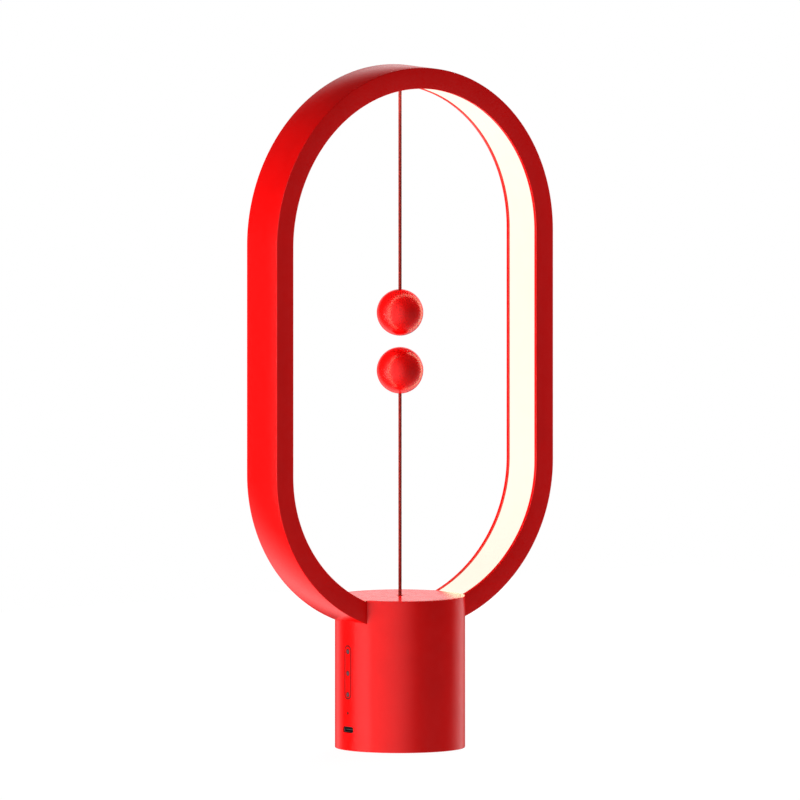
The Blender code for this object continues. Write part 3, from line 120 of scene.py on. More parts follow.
def world_ramp(source, start, end, low, high):
    """Map a number of the world's direction to a strength."""
    ramp = tree.nodes.new("ShaderNodeMapRange")
    ramp.interpolation_type = "SMOOTHSTEP"
    for socket, value in (("From Min", start), ("From Max", end), ("To Min", low), ("To Max", high)):
        ramp.inputs[socket].default_value = value
    tree.links.new(source, ramp.inputs["Value"])
    return ramp.outputs["Result"]


def combine(first, second, operation="MAXIMUM"):
    """Return the larger of two numbers, or what another operation makes of them."""
    pair = tree.nodes.new("ShaderNodeMath")
    pair.operation = operation
    tree.links.new(first, pair.inputs[0])
    tree.links.new(second, pair.inputs[1])
    return pair.outputs[0]


def along(fixed):
    """Return how far the world's direction points along a fixed one."""
    product = tree.nodes.new("ShaderNodeVectorMath")
    product.operation = "DOT_PRODUCT"
    product.inputs[1].default_value = fixed
    tree.links.new(direction.outputs["Generated"], product.inputs[0])
    return product.outputs["Value"]


height = tree.nodes.new("ShaderNodeSeparateXYZ")
tree.links.new(direction.outputs["Generated"], height.inputs[0])
wall = world_ramp(along(WALL_DIRECTION), WALL_START, WALL_FULL, DARK_SIDE, WALL_LIGHT)
screen = world_ramp(along(SCREEN_DIRECTION), SCREEN_START, SCREEN_FULL, 0.0, SCREEN_LIGHT)
card = world_ramp(along(-towards_camera), CARD_START, CARD_FULL, 1.0, CARD_LIGHT)
over_card = world_ramp(height.outputs["Z"], CARD_LOW, CARD_TOP, 0.0, 1.0)
reflected = combine(combine(wall, screen), combine(card, over_card), "MULTIPLY")
even = world_ramp(height.outputs["Z"], -LIGHT_BLEND, LIGHT_BLEND, LIGHT_BELOW, LIGHT_ABOVE)
lighting = tree.nodes.new("ShaderNodeMix")
tree.links.new(rays.outputs["Is Glossy Ray"], lighting.inputs["Factor"])
tree.links.new(even, lighting.inputs["A"])
tree.links.new(reflected, lighting.inputs["B"])
clear_rays = combine(rays.outputs["Is Camera Ray"], rays.outputs["Is Transmission Ray"])
tree.links.new(combine(lighting.outputs["Result"], clear_rays), background.inputs["Strength"])
print("world:", len(tree.nodes), "nodes")

# %% [markdown]
# The left outside of the band is almost pure red, and the front is much darker, so one large soft
# lamp stands far to the left, a little behind the object and low. It may stand below the floor,
# because the floor casts no shadow. Another on the right reaches only what faces away from the front,
# such as the drum's right edge. A third stands high behind on the right and lights the top of the
# arch and the drum's lid.

# %% Studio lamps
KEY_PLACE = (-1.50, 0.50, -0.20)
KEY_POWER = 37.0
KEY_SIZE = 1.0
SIDE_PLACE = (1.40, 0.25, 0.25)
SIDE_POWER = 18.0
SIDE_SIZE = 0.9
TOP_PLACE = (1.20, 0.90, 1.10)
TOP_POWER = 36.0
TOP_SIZE = 0.8


def area_lamp(name, place, power, shape, size):
    """Add an area lamp that lights the object but shows in no picture and no reflection."""
    bpy.ops.object.light_add(type="AREA", location=place)
    lamp = bpy.context.active_object
    lamp.name = name
    lamp.data.shape = shape
    lamp.data.size = size
    lamp.data.energy = power
    lamp.visible_camera = False
    lamp.visible_glossy = False
    return lamp


def soft_lamp(name, place, power, size):
    """Add a square lamp that points at the middle of the object."""
    lamp = area_lamp(name, place, power, "SQUARE", size)
    lamp.rotation_euler = (Vector(place) - aim).to_track_quat("Z", "Y").to_euler()


soft_lamp("key_lamp", KEY_PLACE, KEY_POWER, KEY_SIZE)
soft_lamp("side_lamp", SIDE_PLACE, SIDE_POWER, SIDE_SIZE)
soft_lamp("top_lamp", TOP_PLACE, TOP_POWER, TOP_SIZE)
print("studio lamps:", KEY_POWER, SIDE_POWER, TOP_POWER, "W")

# %% [markdown]
# Materials come from a few helpers. A finish is a Principled shader whose numbers are set on its own
# sockets. What varies over the surface is added by noise on Object coordinates, so that it stays on
# the piece when the camera moves.

# %% Material helpers
NOISE_LOW, NOISE_HIGH = 0.3, 0.7
TINT_LOW, TINT_HIGH = 0.35, 0.65


def new_finish(name, colour, roughness, **sockets):
    """Return a material and its shader, with constants set on the shader's sockets."""
    material = bpy.data.materials.new(name)
    material.use_nodes = True
    shader = material.node_tree.nodes["Principled BSDF"]
    shader.inputs["Base Color"].default_value = (*colour, 1.0)
    shader.inputs["Roughness"].default_value = roughness
    for socket, value in sockets.items():
        shader.inputs[socket.replace("_", " ")].default_value = value
    return material


def add_noise(material, scale, detail=3.0):
    """Add a noise texture on Object coordinates and return its factor output."""
    graph = material.node_tree
    place = graph.nodes.new("ShaderNodeTexCoord")
    noise = graph.nodes.new("ShaderNodeTexNoise")
    noise.inputs["Scale"].default_value = scale
    noise.inputs["Detail"].default_value = detail
    graph.links.new(place.outputs["Object"], noise.inputs["Vector"])
    return noise.outputs["Fac"]


def vary(material, factor, socket, low, high):
    """Let a factor move a number of the shader between two values."""
    graph = material.node_tree
    spread = graph.nodes.new("ShaderNodeMapRange")
    for name, value in (("From Min", NOISE_LOW), ("From Max", NOISE_HIGH),
                        ("To Min", low), ("To Max", high)):
        spread.inputs[name].default_value = value
    graph.links.new(factor, spread.inputs["Value"])
    graph.links.new(spread.outputs["Result"], graph.nodes["Principled BSDF"].inputs[socket])


def tint(material, factor, first, second):
    """Let a factor mix two colours on the shader."""
    graph = material.node_tree
    ramp = graph.nodes.new("ShaderNodeValToRGB")
    stops = ramp.color_ramp.elements
    for stop, position, colour in ((stops[0], TINT_LOW, first), (stops[1], TINT_HIGH, second)):
        stop.position = position
        stop.color = (*colour, 1.0)
    graph.links.new(factor, ramp.inputs["Fac"])
    graph.links.new(ramp.outputs["Color"], graph.nodes["Principled BSDF"].inputs["Base Color"])


def roughen(material, factor, strength, distance):
    """Add a bump from a factor."""
    graph = material.node_tree
    bump = graph.nodes.new("ShaderNodeBump")
    bump.inputs["Strength"].default_value = strength
    bump.inputs["Distance"].default_value = distance
    graph.links.new(factor, bump.inputs["Height"])
    graph.links.new(bump.outputs["Normal"], graph.nodes["Principled BSDF"].inputs["Normal"])


# %% [markdown]
# The shell of the band and the drum is moulded red plastic with a satin skin. The mould leaves an
# almost invisible grain, so the bump is far finer than a millimetre, and slow changes of roughness
# break up the reflection a little, as on real mouldings.

# %% Red shell plastic
SHELL_RED = (0.74, 0.0008, 0.0008)
SHELL_RED_DEEP = (0.70, 0.0007, 0.0007)

shell_red = new_finish("red_plastic", SHELL_RED, 0.22, Specular_IOR_Level=0.36)
tint(shell_red, add_noise(shell_red, 60.0), SHELL_RED_DEEP, SHELL_RED)
vary(shell_red, add_noise(shell_red, 220.0, 5.0), "Roughness", 0.20, 0.25)
roughen(shell_red, add_noise(shell_red, 5200.0, 2.0), 0.10, 0.02 * MM)

ball_red = new_finish("red_gloss", (0.71, 0.001, 0.001), 0.24, Specular_IOR_Level=0.40)
tint(ball_red, add_noise(ball_red, 45.0), (0.66, 0.0008, 0.0008), (0.73, 0.0012, 0.001))
vary(ball_red, add_noise(ball_red, 350.0, 4.0), "Roughness", 0.22, 0.26)
roughen(ball_red, add_noise(ball_red, 4200.0, 2.0), 0.05, 0.01 * MM)
print("red finishes made")

# %% [markdown]
# The light strip's cover is opal plastic, lit from behind. It glows evenly, a warm white that is
# just short of pure white, so its emission carries the colour, and its own paint stays darker. A
# photograph can't hold how bright it really is. Its reflections show that, so they get more. A Mix
# node has one output for each kind of data, and its third carries the colour.

# %% Opal diffuser
GLOW = 0.91
GLOW_COLOUR = (1.0, 0.965, 0.82)
GLOW_IN_REFLECTIONS = 3.0
GLOW_REFLECTED = (1.0, 0.80, 0.52)
MIXED_COLOUR = 2

opal = new_finish("opal_plastic", (0.08, 0.078, 0.066), 0.5)
tint(opal, add_noise(opal, 90.0), (0.075, 0.073, 0.060), (0.085, 0.083, 0.070))
roughen(opal, add_noise(opal, 3000.0, 2.0), 0.08, 0.02 * MM)
opal_tree = opal.node_tree
opal_rays = opal_tree.nodes.new("ShaderNodeLightPath")
glow_colour = opal_tree.nodes.new("ShaderNodeMix")
glow_colour.data_type = "RGBA"
for socket in glow_colour.inputs:
    if socket.type == "RGBA":
        socket.default_value = (*(GLOW_COLOUR if socket.name == "A" else GLOW_REFLECTED), 1.0)
glow_strength = opal_tree.nodes.new("ShaderNodeMapRange")
glow_strength.inputs["To Min"].default_value = GLOW
glow_strength.inputs["To Max"].default_value = GLOW_IN_REFLECTIONS
opal_shader = opal_tree.nodes["Principled BSDF"]
opal_tree.links.new(opal_rays.outputs["Is Glossy Ray"], glow_colour.inputs["Factor"])
opal_tree.links.new(opal_rays.outputs["Is Glossy Ray"], glow_strength.inputs["Value"])
opal_tree.links.new(glow_colour.outputs[MIXED_COLOUR], opal_shader.inputs["Emission Color"])
opal_tree.links.new(glow_strength.outputs["Result"], opal_shader.inputs["Emission Strength"])
print("opal finish made")

# %% [markdown]
# The strings are laid from fine red yarns. The lay is modelled, so the material adds only the
# fibres: a fine bump and a slight change of shade.

# %% Yarn
yarn = new_finish("red_string", (0.22, 0.016, 0.012), 0.80, Specular_IOR_Level=0.2)
tint(yarn, add_noise(yarn, 1500.0, 4.0), (0.18, 0.012, 0.009), (0.26, 0.020, 0.015))
roughen(yarn, add_noise(yarn, 4200.0, 4.0), 0.5, 0.04 * MM)
print("yarn made")

# %% [markdown]
# What is inside the lamp, and under it, is rarely seen, but each piece still gets the finish it has
# on a real product: lacquered board, zinc plated screws, nickel, brass, rubber and plain plastics.

# %% Other finishes
DARKER = 0.86
ROUGHNESS_SPREAD = 0.12
GRAIN_DEPTH = 0.03 * MM

finishes = {"red_plastic": shell_red, "red_gloss": ball_red, "opal_plastic": opal, "red_string": yarn}


def plain_finish(name, colour, roughness, grain, depth, **sockets):
    """Add a finish with a slight change of colour, roughness and grain over the surface."""
    material = new_finish(name, colour, roughness, **sockets)
    darker = tuple(DARKER * channel for channel in colour)
    tint(material, add_noise(material, grain / 6), darker, colour)
    vary(material, add_noise(material, grain / 2, 4.0), "Roughness",
         (1 - ROUGHNESS_SPREAD) * roughness, (1 + ROUGHNESS_SPREAD) * roughness)
    roughen(material, add_noise(material, grain), depth, GRAIN_DEPTH)
    finishes[name] = material


plain_finish("grey_rubber", (0.095, 0.042, 0.050), 0.60, 2600.0, 0.10)
plain_finish("black_rubber", (0.008, 0.008, 0.009), 0.88, 1800.0, 0.35, Specular_IOR_Level=0.25)
plain_finish("black_plastic", (0.040, 0.038, 0.040), 0.48, 3200.0, 0.15)
plain_finish("white_plastic", (0.78, 0.77, 0.74), 0.45, 2400.0, 0.08)
plain_finish("board_green", (0.015, 0.15, 0.05), 0.38, 1400.0, 0.10)
plain_finish("strip_white", (0.82, 0.81, 0.76), 0.50, 1600.0, 0.06)
plain_finish("steel", (0.56, 0.56, 0.58), 0.34, 2000.0, 0.10, Metallic=1.0)
plain_finish("nickel", (0.30, 0.28, 0.27), 0.50, 2200.0, 0.05, Metallic=1.0)
plain_finish("brass", (0.70, 0.50, 0.20), 0.30, 2200.0, 0.08, Metallic=1.0)
plain_finish("wire_red", (0.45, 0.02, 0.02), 0.42, 1500.0, 0.05)
slot_of = {row["node"]: row["material_slot"] for row in frame["record"]["subparts"]}
for node_name, node in nodes.items():
    node.data.materials.clear()
    node.data.materials.append(finishes[slot_of[node_name]])
print("finishes:", len(finishes), "on", len(nodes), "nodes")

# %% [markdown]
# Modelling helpers. An operator works on what is selected, so everything is deselected first. A
# shape is drawn as a person would: one vertex is extruded from point to point, and the line is then
# filled, extruded, or spun round an axis.

# %% Modelling helpers
SMOOTH_ANGLE = math.radians(32)
EDGE_ANGLE = math.radians(50)
MERGE_DISTANCE = 0.002 * MM
SQUARE = ((-1, -1), (1, -1), (1, 1), (-1, 1))


def choose(piece):
    """Make one piece the only selected and the active one."""
    if bpy.context.object and bpy.context.object.mode != "OBJECT":
        bpy.ops.object.mode_set(mode="OBJECT")
    bpy.ops.object.select_all(action="DESELECT")
    piece.select_set(True)
    bpy.context.view_layer.objects.active = piece


def draw(name, points, closed=True):
    """Draw a line of edges through the points and stay in edit mode with all of it selected."""
    bpy.ops.object.select_all(action="DESELECT")
    bpy.ops.mesh.primitive_plane_add(size=1, location=(0, 0, 0))
    piece = bpy.context.active_object
    piece.name = piece.data.name = name
    bpy.ops.object.mode_set(mode="EDIT")
    bpy.ops.mesh.select_all(action="SELECT")
    bpy.ops.mesh.merge(type="CENTER")
    places = [Vector(point) for point in points]
    bpy.ops.transform.translate(value=places[0])
    for before, after in zip(places, places[1:]):
        bpy.ops.mesh.extrude_region_move(TRANSFORM_OT_translate={"value": after - before})
    if closed:
        bpy.ops.mesh.select_all(action="DESELECT")
        bpy.ops.object.mode_set(mode="OBJECT")
        for end in (0, len(places) - 1):
            piece.data.vertices[end].select = True
        bpy.ops.object.mode_set(mode="EDIT")
        bpy.ops.mesh.edge_face_add()
    bpy.ops.mesh.select_all(action="SELECT")
    return piece


def pick(piece, wanted):
    """Select the vertices whose place passes a test and stay in edit mode."""
    bpy.ops.object.mode_set(mode="EDIT")
    bpy.ops.mesh.select_mode(type="VERT")
    bpy.ops.mesh.select_all(action="DESELECT")
    bpy.ops.object.mode_set(mode="OBJECT")
    for vertex in piece.data.vertices:
        vertex.select = wanted(vertex.co)
    bpy.ops.object.mode_set(mode="EDIT")


def tidy(piece, smooth_angle=SMOOTH_ANGLE):
    """Merge doubles, turn the faces outwards, shade smooth and leave edit mode."""
    bpy.ops.object.mode_set(mode="EDIT")
    bpy.ops.mesh.select_all(action="SELECT")
    bpy.ops.mesh.remove_doubles(threshold=MERGE_DISTANCE)
    bpy.ops.mesh.normals_make_consistent(inside=False)
    bpy.ops.object.mode_set(mode="OBJECT")
    choose(piece)
    bpy.ops.object.shade_smooth_by_angle(angle=smooth_angle)
    return piece


def turn(name, profile, steps, centre=(0, 0, 0), axis=(0, 0, 1), closed=True):
    """Spin a drawn profile once round an axis."""
    piece = draw(name, profile, closed)
    bpy.ops.mesh.spin(steps=steps, angle=math.tau, center=centre, axis=axis)
    return tidy(piece)


def block(name, outline, reach):
    """Fill a drawn outline and extrude it by a vector."""
    piece = draw(name, outline)
    bpy.ops.mesh.edge_face_add()
    bpy.ops.mesh.extrude_region_move(TRANSFORM_OT_translate={"value": reach})
    return tidy(piece)


def open_edges(piece):
    """Count the edges that don't join exactly two faces."""
    mesh = bmesh.new()
    mesh.from_mesh(piece.data)
    count = sum(not edge.is_manifold for edge in mesh.edges)
    mesh.free()
    return count


def apply_boolean(piece, tools, operation):
    """Cut tools from a piece, or join them to it, and delete them."""
    choose(piece)
    for tool in tools:
        modifier = piece.modifiers.new(operation.lower(), "BOOLEAN")
        modifier.operation = operation
        modifier.solver = "EXACT"
        modifier.object = tool
        bpy.ops.object.modifier_apply(modifier=modifier.name)
    for tool in tools:
        bpy.data.objects.remove(tool)
    bpy.ops.object.shade_smooth_by_angle(angle=SMOOTH_ANGLE)


def round_edges(piece, width, segments=2):
    """Bevel a piece's sharp edges."""
    choose(piece)
    modifier = piece.modifiers.new("edges", "BEVEL")
    modifier.width = width
    modifier.segments = segments
    modifier.limit_method = "ANGLE"
    modifier.angle_limit = EDGE_ANGLE
    modifier.harden_normals = False
    bpy.ops.object.modifier_apply(modifier=modifier.name)
    bpy.ops.object.shade_smooth_by_angle(angle=SMOOTH_ANGLE)


def circle(centre, radius, steps, make):
    """List points round a circle, placed by a function of the two coordinates."""
    turns = [math.tau * step / steps for step in range(steps)]
    return [make(centre[0] + radius * math.cos(a), centre[1] + radius * math.sin(a)) for a in turns]


def bar(name, centre, radius, low, high, along="Z", steps=48):
    """A round bar used as a cutter or a boss."""
    if along == "Z":
        return block(name, circle(centre, radius, steps, lambda a, b: (a, b, low)), (0, 0, high - low))
    return block(name, circle(centre, radius, steps, lambda a, b: (low, a, b)), (high - low, 0, 0))


def finish_piece(piece, body, slot, *replaced):
    """Give a piece its material, let it ride on its body and stand for its solids."""
    piece.data.materials.clear()
    piece.data.materials.append(finishes[slot])
    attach(piece, body)
    if replaced:
        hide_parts(*replaced)
    print(piece.name, len(piece.data.polygons), "faces on", body, "open edges:", open_edges(piece))


# %% [markdown]
# The band's outside and its depth are read from its solid. Below the straight sides it ends in a
# slightly flatter arc. Where that arc starts, the band's thickness, its wall and its lips are sizes
# that a box around a solid can't give, so they are written here again.

# %% Sizes of the band
band_low, band_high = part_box("frame_front_shell")
drum_low, drum_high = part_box("base_housing")
HALF_WIDTH = band_high.x
BAND_FACE = band_high.y
BAND_TOP = band_high.z
TOP_CENTRE = BAND_TOP - HALF_WIDTH
LOWER_CENTRE = 164.0 * MM
LOWER_DROP = LOWER_CENTRE - band_low.z
BAND_THICKNESS = 12.25 * MM
LIP = 2.0 * MM
WALL = 2.0 * MM
GAP = 0.3 * MM
BAND_STEPS = 96
SAME_LEVEL = 0.01 * MM
OVERCUT = 1 * MM
OVERREACH = 5 * MM
BAND_EDGE = 0.45 * MM
print("band:", round(2 * HALF_WIDTH, 4), "wide,", round(2 * BAND_FACE, 4), "deep, top", round(BAND_TOP, 4))


# %% [markdown]
# The band is one cross-section carried round an oval. It could be a curve with a bevel object, but
# then its lower end couldn't flatten while its thickness stays the same. So the section is drawn at
# the right end of the top arch, spun half a turn over the top, extruded straight down on both
# sides, and spun half a turn below. The lower half is then pressed flatter, each line of the
# section by its own share.

# %% Sweep a section round the oval
def corner(inset, depth, inset_sign, depth_sign, radius=BAND_EDGE, steps=3):
    """List the points of a rounded corner of the section, from the side towards the face."""
    angles = [math.pi / 2 * step / steps for step in range(steps + 1)]
    return [(inset + inset_sign * radius * (1 - math.cos(a)),
             depth + depth_sign * radius * (1 - math.sin(a))) for a in angles]


def sweep(name, section):
    """Carry a closed section of (inset, Y) points round the whole band."""
    points = [(HALF_WIDTH - inset, depth, TOP_CENTRE) for inset, depth in section]
    piece = draw(name, points)
    bpy.ops.mesh.spin(steps=BAND_STEPS, angle=math.pi, center=(0, 0, TOP_CENTRE), axis=(0, 1, 0))
    tidy(piece)
    pick(piece, lambda place: abs(place.z - TOP_CENTRE) < SAME_LEVEL)
    bpy.ops.mesh.extrude_region_move(TRANSFORM_OT_translate={"value": (0, 0, LOWER_CENTRE - TOP_CENTRE)})
    pick(piece, lambda place: abs(place.z - LOWER_CENTRE) < SAME_LEVEL and place.x > 0)
    bpy.ops.mesh.spin(steps=BAND_STEPS, angle=math.pi, center=(0, 0, LOWER_CENTRE), axis=(0, -1, 0))
    tidy(piece)
    mesh = piece.data
    for vertex in mesh.vertices:
        below = LOWER_CENTRE - vertex.co.z
        if below > 0:
            radius = math.hypot(vertex.co.x, below)
            inset = HALF_WIDTH - radius
            vertex.co.z = LOWER_CENTRE - below * (LOWER_DROP - inset) / radius
    return tidy(piece)


front_section = (
    corner(0, -BAND_FACE, 1, 1)
    + corner(BAND_THICKNESS, -BAND_FACE, -1, 1)[::-1]
    + [(BAND_THICKNESS, LIP - BAND_FACE), (WALL, LIP - BAND_FACE), (WALL, BAND_FACE)]
    + corner(0, BAND_FACE, 1, -1)[::-1]
)
band_front = sweep("band_front", front_section)
print("front shell drawn with", len(front_section), "points")

rear_section = (
    [(WALL + GAP, BAND_FACE - LIP), (WALL + GAP, BAND_FACE)]
    + corner(BAND_THICKNESS, BAND_FACE, -1, -1)[::-1]
    + [(BAND_THICKNESS, BAND_FACE - LIP)]
)
band_rear = sweep("band_rear", rear_section)
print("rear cover drawn with", len(rear_section), "points")

# %% [markdown]
# Inside the drum the band's outer wall has five holes: one for the lower string's tail, two for the
# screws that hold it down, and two for the leads. They are cut so that nothing runs through plastic.

# %% Holes in the band's floor
frame_screw_low, frame_screw_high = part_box("frame_screw_2")
SCREW_ACROSS = (frame_screw_low.x + frame_screw_high.x) / 2
LEAD_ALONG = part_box("light_lead_left")[0].x + 0.6 * MM
LEAD_ACROSS = 7.8 * MM
TAIL_HOLE = 2.5 * MM
SCREW_HOLE = 1.5 * MM
LEAD_HOLE = 1.3 * MM
FLOOR_LOW = band_low.z - OVERREACH
FLOOR_HIGH = band_low.z + 11 * MM

holes = [bar("tail_hole", (0, 0), TAIL_HOLE, FLOOR_LOW, FLOOR_HIGH)]
for side in (-1, 1):
    holes.append(bar("screw_hole", (side * SCREW_ACROSS, 0), SCREW_HOLE, FLOOR_LOW, FLOOR_HIGH))
    holes.append(bar("lead_hole", (LEAD_ALONG, side * LEAD_ACROSS), LEAD_HOLE, FLOOR_LOW, FLOOR_HIGH))
apply_boolean(band_front, holes, "DIFFERENCE")
finish_piece(band_front, "stand", "red_plastic", "frame_front_shell")
finish_piece(band_rear, "stand", "red_plastic", "frame_rear_cover")

# %% [markdown]
# The diffuser is a thin opal channel that snaps behind the two lips. Its face is slightly crowned,
# which stiffens it and spreads the light. It follows the same oval, but it ends just under the
# drum's top, so the lower part is cut away, and a hole lets the string's anchor through.

# %% Diffuser
diffuser_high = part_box("light_diffuser")[1]
anchor_low, anchor_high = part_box("upper_string_anchor")
CAP_PLATE = 2.0 * MM
DRUM_TOP = drum_high.z
CAP_BELOW = DRUM_TOP - CAP_PLATE
DIFFUSER_FACE = BAND_TOP - anchor_low.z
DIFFUSER_BACK = BAND_TOP - diffuser_high.z
DIFFUSER_WALL = 1.1 * MM
DIFFUSER_HALF = diffuser_high.y
CROWN = 0.25 * MM
EDGE_DROP = 0.3 * MM
EDGE_INSET = 0.35 * MM
NOSE_RADIUS = 4.455 * MM
CUT_DEPTH = 30 * MM
CUT_LOW = 50 * MM


def crowned_face(inset, steps=6):
    """List points across the face, highest in the middle."""
    reach = DIFFUSER_HALF - EDGE_INSET
    across = [reach * (2 * step / steps - 1) for step in range(steps + 1)]
    return [(inset - CROWN * (depth / reach) ** 2, depth) for depth in across]


edge_face = DIFFUSER_FACE - CROWN - EDGE_DROP
diffuser_section = (
    [(DIFFUSER_BACK, -DIFFUSER_HALF), (edge_face, -DIFFUSER_HALF)]
    + crowned_face(DIFFUSER_FACE)
    + [(edge_face, DIFFUSER_HALF), (DIFFUSER_BACK, DIFFUSER_HALF),
       (DIFFUSER_BACK, DIFFUSER_HALF - DIFFUSER_WALL)]
    + crowned_face(DIFFUSER_FACE - DIFFUSER_WALL)[::-1]
    + [(DIFFUSER_BACK, DIFFUSER_WALL - DIFFUSER_HALF)]
)
diffuser = sweep("diffuser", diffuser_section)
below = block("below_cap", [(side * HALF_WIDTH, rise * CUT_DEPTH, CUT_LOW) for side, rise in SQUARE],
              (0, 0, CAP_BELOW - CUT_LOW))
nose_hole = bar("nose_hole", (0, 0), NOSE_RADIUS + GAP, anchor_low.z - OVERREACH, BAND_TOP - WALL)
apply_boolean(diffuser, [below, nose_hole], "DIFFERENCE")
finish_piece(diffuser, "stand", "opal_plastic", "light_diffuser")

# %% [markdown]
# The top string leaves the band through a small flared nose. It is a turned part: a cup above that
# holds the string's bead, a mouth that widens downwards so that the string can swing, and a rounded
# rim where the string could rub. The laid string is thicker than its solid, so the mouth is wider
# than the solid's too.

# %% String anchor
bead_low, bead_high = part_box("upper_string_bead")
ANCHOR_PIVOT = (bead_low.z + bead_high.z) / 2
CUP = (bead_high.z - bead_low.z) / 2 + GAP
FLANGE = anchor_high.x
LIP_ANGLE = math.asin(0.60)
RIM = 0.35 * MM
NOSE_WALL = 0.8 * MM
MOUTH = NOSE_RADIUS - NOSE_WALL
FLANGE_THICKNESS = 1.5 * MM


def cup_wall(radius, centre_height, lip_angle, sign=-1, steps=8):
    """List points along the round seat, from its widest ring to its lip, below it or above it."""
    angles = [lip_angle * step / steps for step in range(steps + 1)]
    return [(radius * math.cos(a), 0, centre_height + sign * radius * math.sin(a)) for a in angles]


seat_top = anchor_high.z
flange_low = BAND_TOP - DIFFUSER_BACK + GAP
flange_top = flange_low + FLANGE_THICKNESS
anchor_profile = (
    [(MOUTH, 0, anchor_low.z + RIM / 2), (MOUTH + RIM / 2, 0, anchor_low.z),
     (NOSE_RADIUS - RIM, 0, anchor_low.z), (NOSE_RADIUS, 0, anchor_low.z + RIM),
     (NOSE_RADIUS, 0, flange_low), (FLANGE - RIM, 0, flange_low), (FLANGE, 0, flange_low + RIM),
     (FLANGE, 0, flange_top - RIM), (FLANGE - RIM, 0, flange_top),
     (NOSE_RADIUS, 0, flange_top), (NOSE_RADIUS, 0, seat_top), (CUP, 0, seat_top)]
    + cup_wall(CUP, ANCHOR_PIVOT, LIP_ANGLE)
)
anchor = turn("string_anchor", anchor_profile, 64)
finish_piece(anchor, "stand", "red_plastic", "upper_string_anchor")

# %% [markdown]
# The drum is turned: a thin wall with a softly rounded rim at both ends. Inside it carries the
# bosses for the screws: four for the bottom cover, two for the bracket and two posts for the board.

# %% Drum wall and bosses
DRUM_RADIUS = drum_high.x
cover_low, cover_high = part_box("bottom_cover")
DRUM_BORE = cover_high.x + GAP
DRUM_FOOT = drum_low.z
DRUM_STEPS = 160
EDGE = 0.45 * MM


def rounded_ring(outer, inner, low, high, edge, steps=4):
    """List the profile of a ring whose two outer edges are rounded."""
    profile = [(inner, 0, high), (inner, 0, low)]
    for step in range(steps + 1):
        a = math.pi / 2 * step / steps
        profile.append((outer - edge + edge * math.sin(a), 0, low + edge - edge * math.cos(a)))
    for step in range(steps + 1):
        a = math.pi / 2 * step / steps
        profile.append((outer - edge + edge * math.cos(a), 0, high - edge + edge * math.sin(a)))
    return profile


drum = turn("drum", rounded_ring(DRUM_RADIUS, DRUM_BORE, DRUM_FOOT, DRUM_TOP, EDGE), DRUM_STEPS)

BOSS = 4.4 * MM
BOSS_LENGTH = 11 * MM
BOSS_FOOT = cover_high.z + GAP
BRACKET_BOSS_LENGTH = 16 * MM
BRACKET_BOSS_TOP = 61.7 * MM
SCREW_WALL = 4.23 * MM
SCREW_CIRCLE = DRUM_BORE - SCREW_WALL
PILOT = 1.5 * MM
PILOT_DEPTH = 9 * MM
BRACKET_PILOT_DEPTH = 12 * MM
POST = 2.6 * MM
POST_PILOT_DEPTH = 8 * MM

corner_places = [(SCREW_CIRCLE * math.cos(a), SCREW_CIRCLE * math.sin(a))
                 for a in (math.pi / 4 + math.pi / 2 * index for index in range(4))]
bosses = [bar("boss", place, BOSS, BOSS_FOOT, BOSS_FOOT + BOSS_LENGTH) for place in corner_places]
pilots = [bar("pilot", place, PILOT, BOSS_FOOT - OVERCUT, BOSS_FOOT + PILOT_DEPTH)
          for place in corner_places]
for side in (-1, 1):
    place = (0, side * SCREW_CIRCLE)
    bosses.append(bar("boss", place, BOSS, BRACKET_BOSS_TOP - BRACKET_BOSS_LENGTH, BRACKET_BOSS_TOP))
    pilots.append(bar("pilot", place, PILOT, BRACKET_BOSS_TOP - BRACKET_PILOT_DEPTH,
                      BRACKET_BOSS_TOP + OVERCUT))

board_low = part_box("control_board")[0]
board_screw_low, board_screw_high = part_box("board_screw_2")
POST_ACROSS = (board_screw_low.y + board_screw_high.y) / 2
POST_HEIGHT = (board_screw_low.z + board_screw_high.z) / 2
POST_OVERLAP = 0.5 * MM
POST_ROOT = POST_OVERLAP - math.sqrt(DRUM_RADIUS ** 2 - (POST_ACROSS + POST) ** 2)
POST_END = board_low.x - GAP
for side in (-1, 1):
    place = (side * POST_ACROSS, POST_HEIGHT)
    bosses.append(bar("post", place, POST, POST_ROOT, POST_END, along="X"))
    pilots.append(bar("pilot", place, PILOT, POST_END - POST_PILOT_DEPTH, POST_END + OVERCUT, along="X"))
apply_boolean(drum, bosses, "UNION")
apply_boolean(drum, pilots, "DIFFERENCE")
print("drum wall with", len(drum.data.polygons), "faces")

# %% [markdown]
# The openings on the drum's left are a long pill for the button plate, a pin hole for the indicator
# light, and the socket's mouth. Each outline has round corners and is extruded through the wall. The
# pin hole is as wide as the photograph shows it, wider than in the solid. The slots for the band are
# cut with the band's own oval, grown by a little play, so that no gap shows where it enters the drum.

# %% Slots and windows in the drum
bezel_low, bezel_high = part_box("button_bezel")
shell_low, shell_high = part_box("socket_shell")
light_low, light_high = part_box("indicator_light")
PLATE_FLANGE = 1.6 * MM
PLATE_HALF_HEIGHT = (bezel_high.z - bezel_low.z) / 2 - PLATE_FLANGE
PLATE_HALF_WIDTH = bezel_high.y - PLATE_FLANGE
PLATE_MIDDLE = (bezel_high.z + bezel_low.z) / 2
PORT_LEVEL = (shell_high.z + shell_low.z) / 2
PORT_HALF_WIDTH = shell_high.y + GAP
PORT_HALF_HEIGHT = (shell_high.z - shell_low.z) / 2 + GAP
PORT_CORNER = 1.3 * MM
PIN_HEIGHT = (light_low.z + light_high.z) / 2
PIN_HOLE = 0.86 * MM
SLOT_PLAY = 0.06 * MM
SLOT_REACH = DRUM_RADIUS + 3 * MM
SLOT_STEPS = 40
TOO_CLOSE = 0.02 * MM
outside = -DRUM_RADIUS - 2 * MM
inside = -DRUM_BORE + 3 * MM


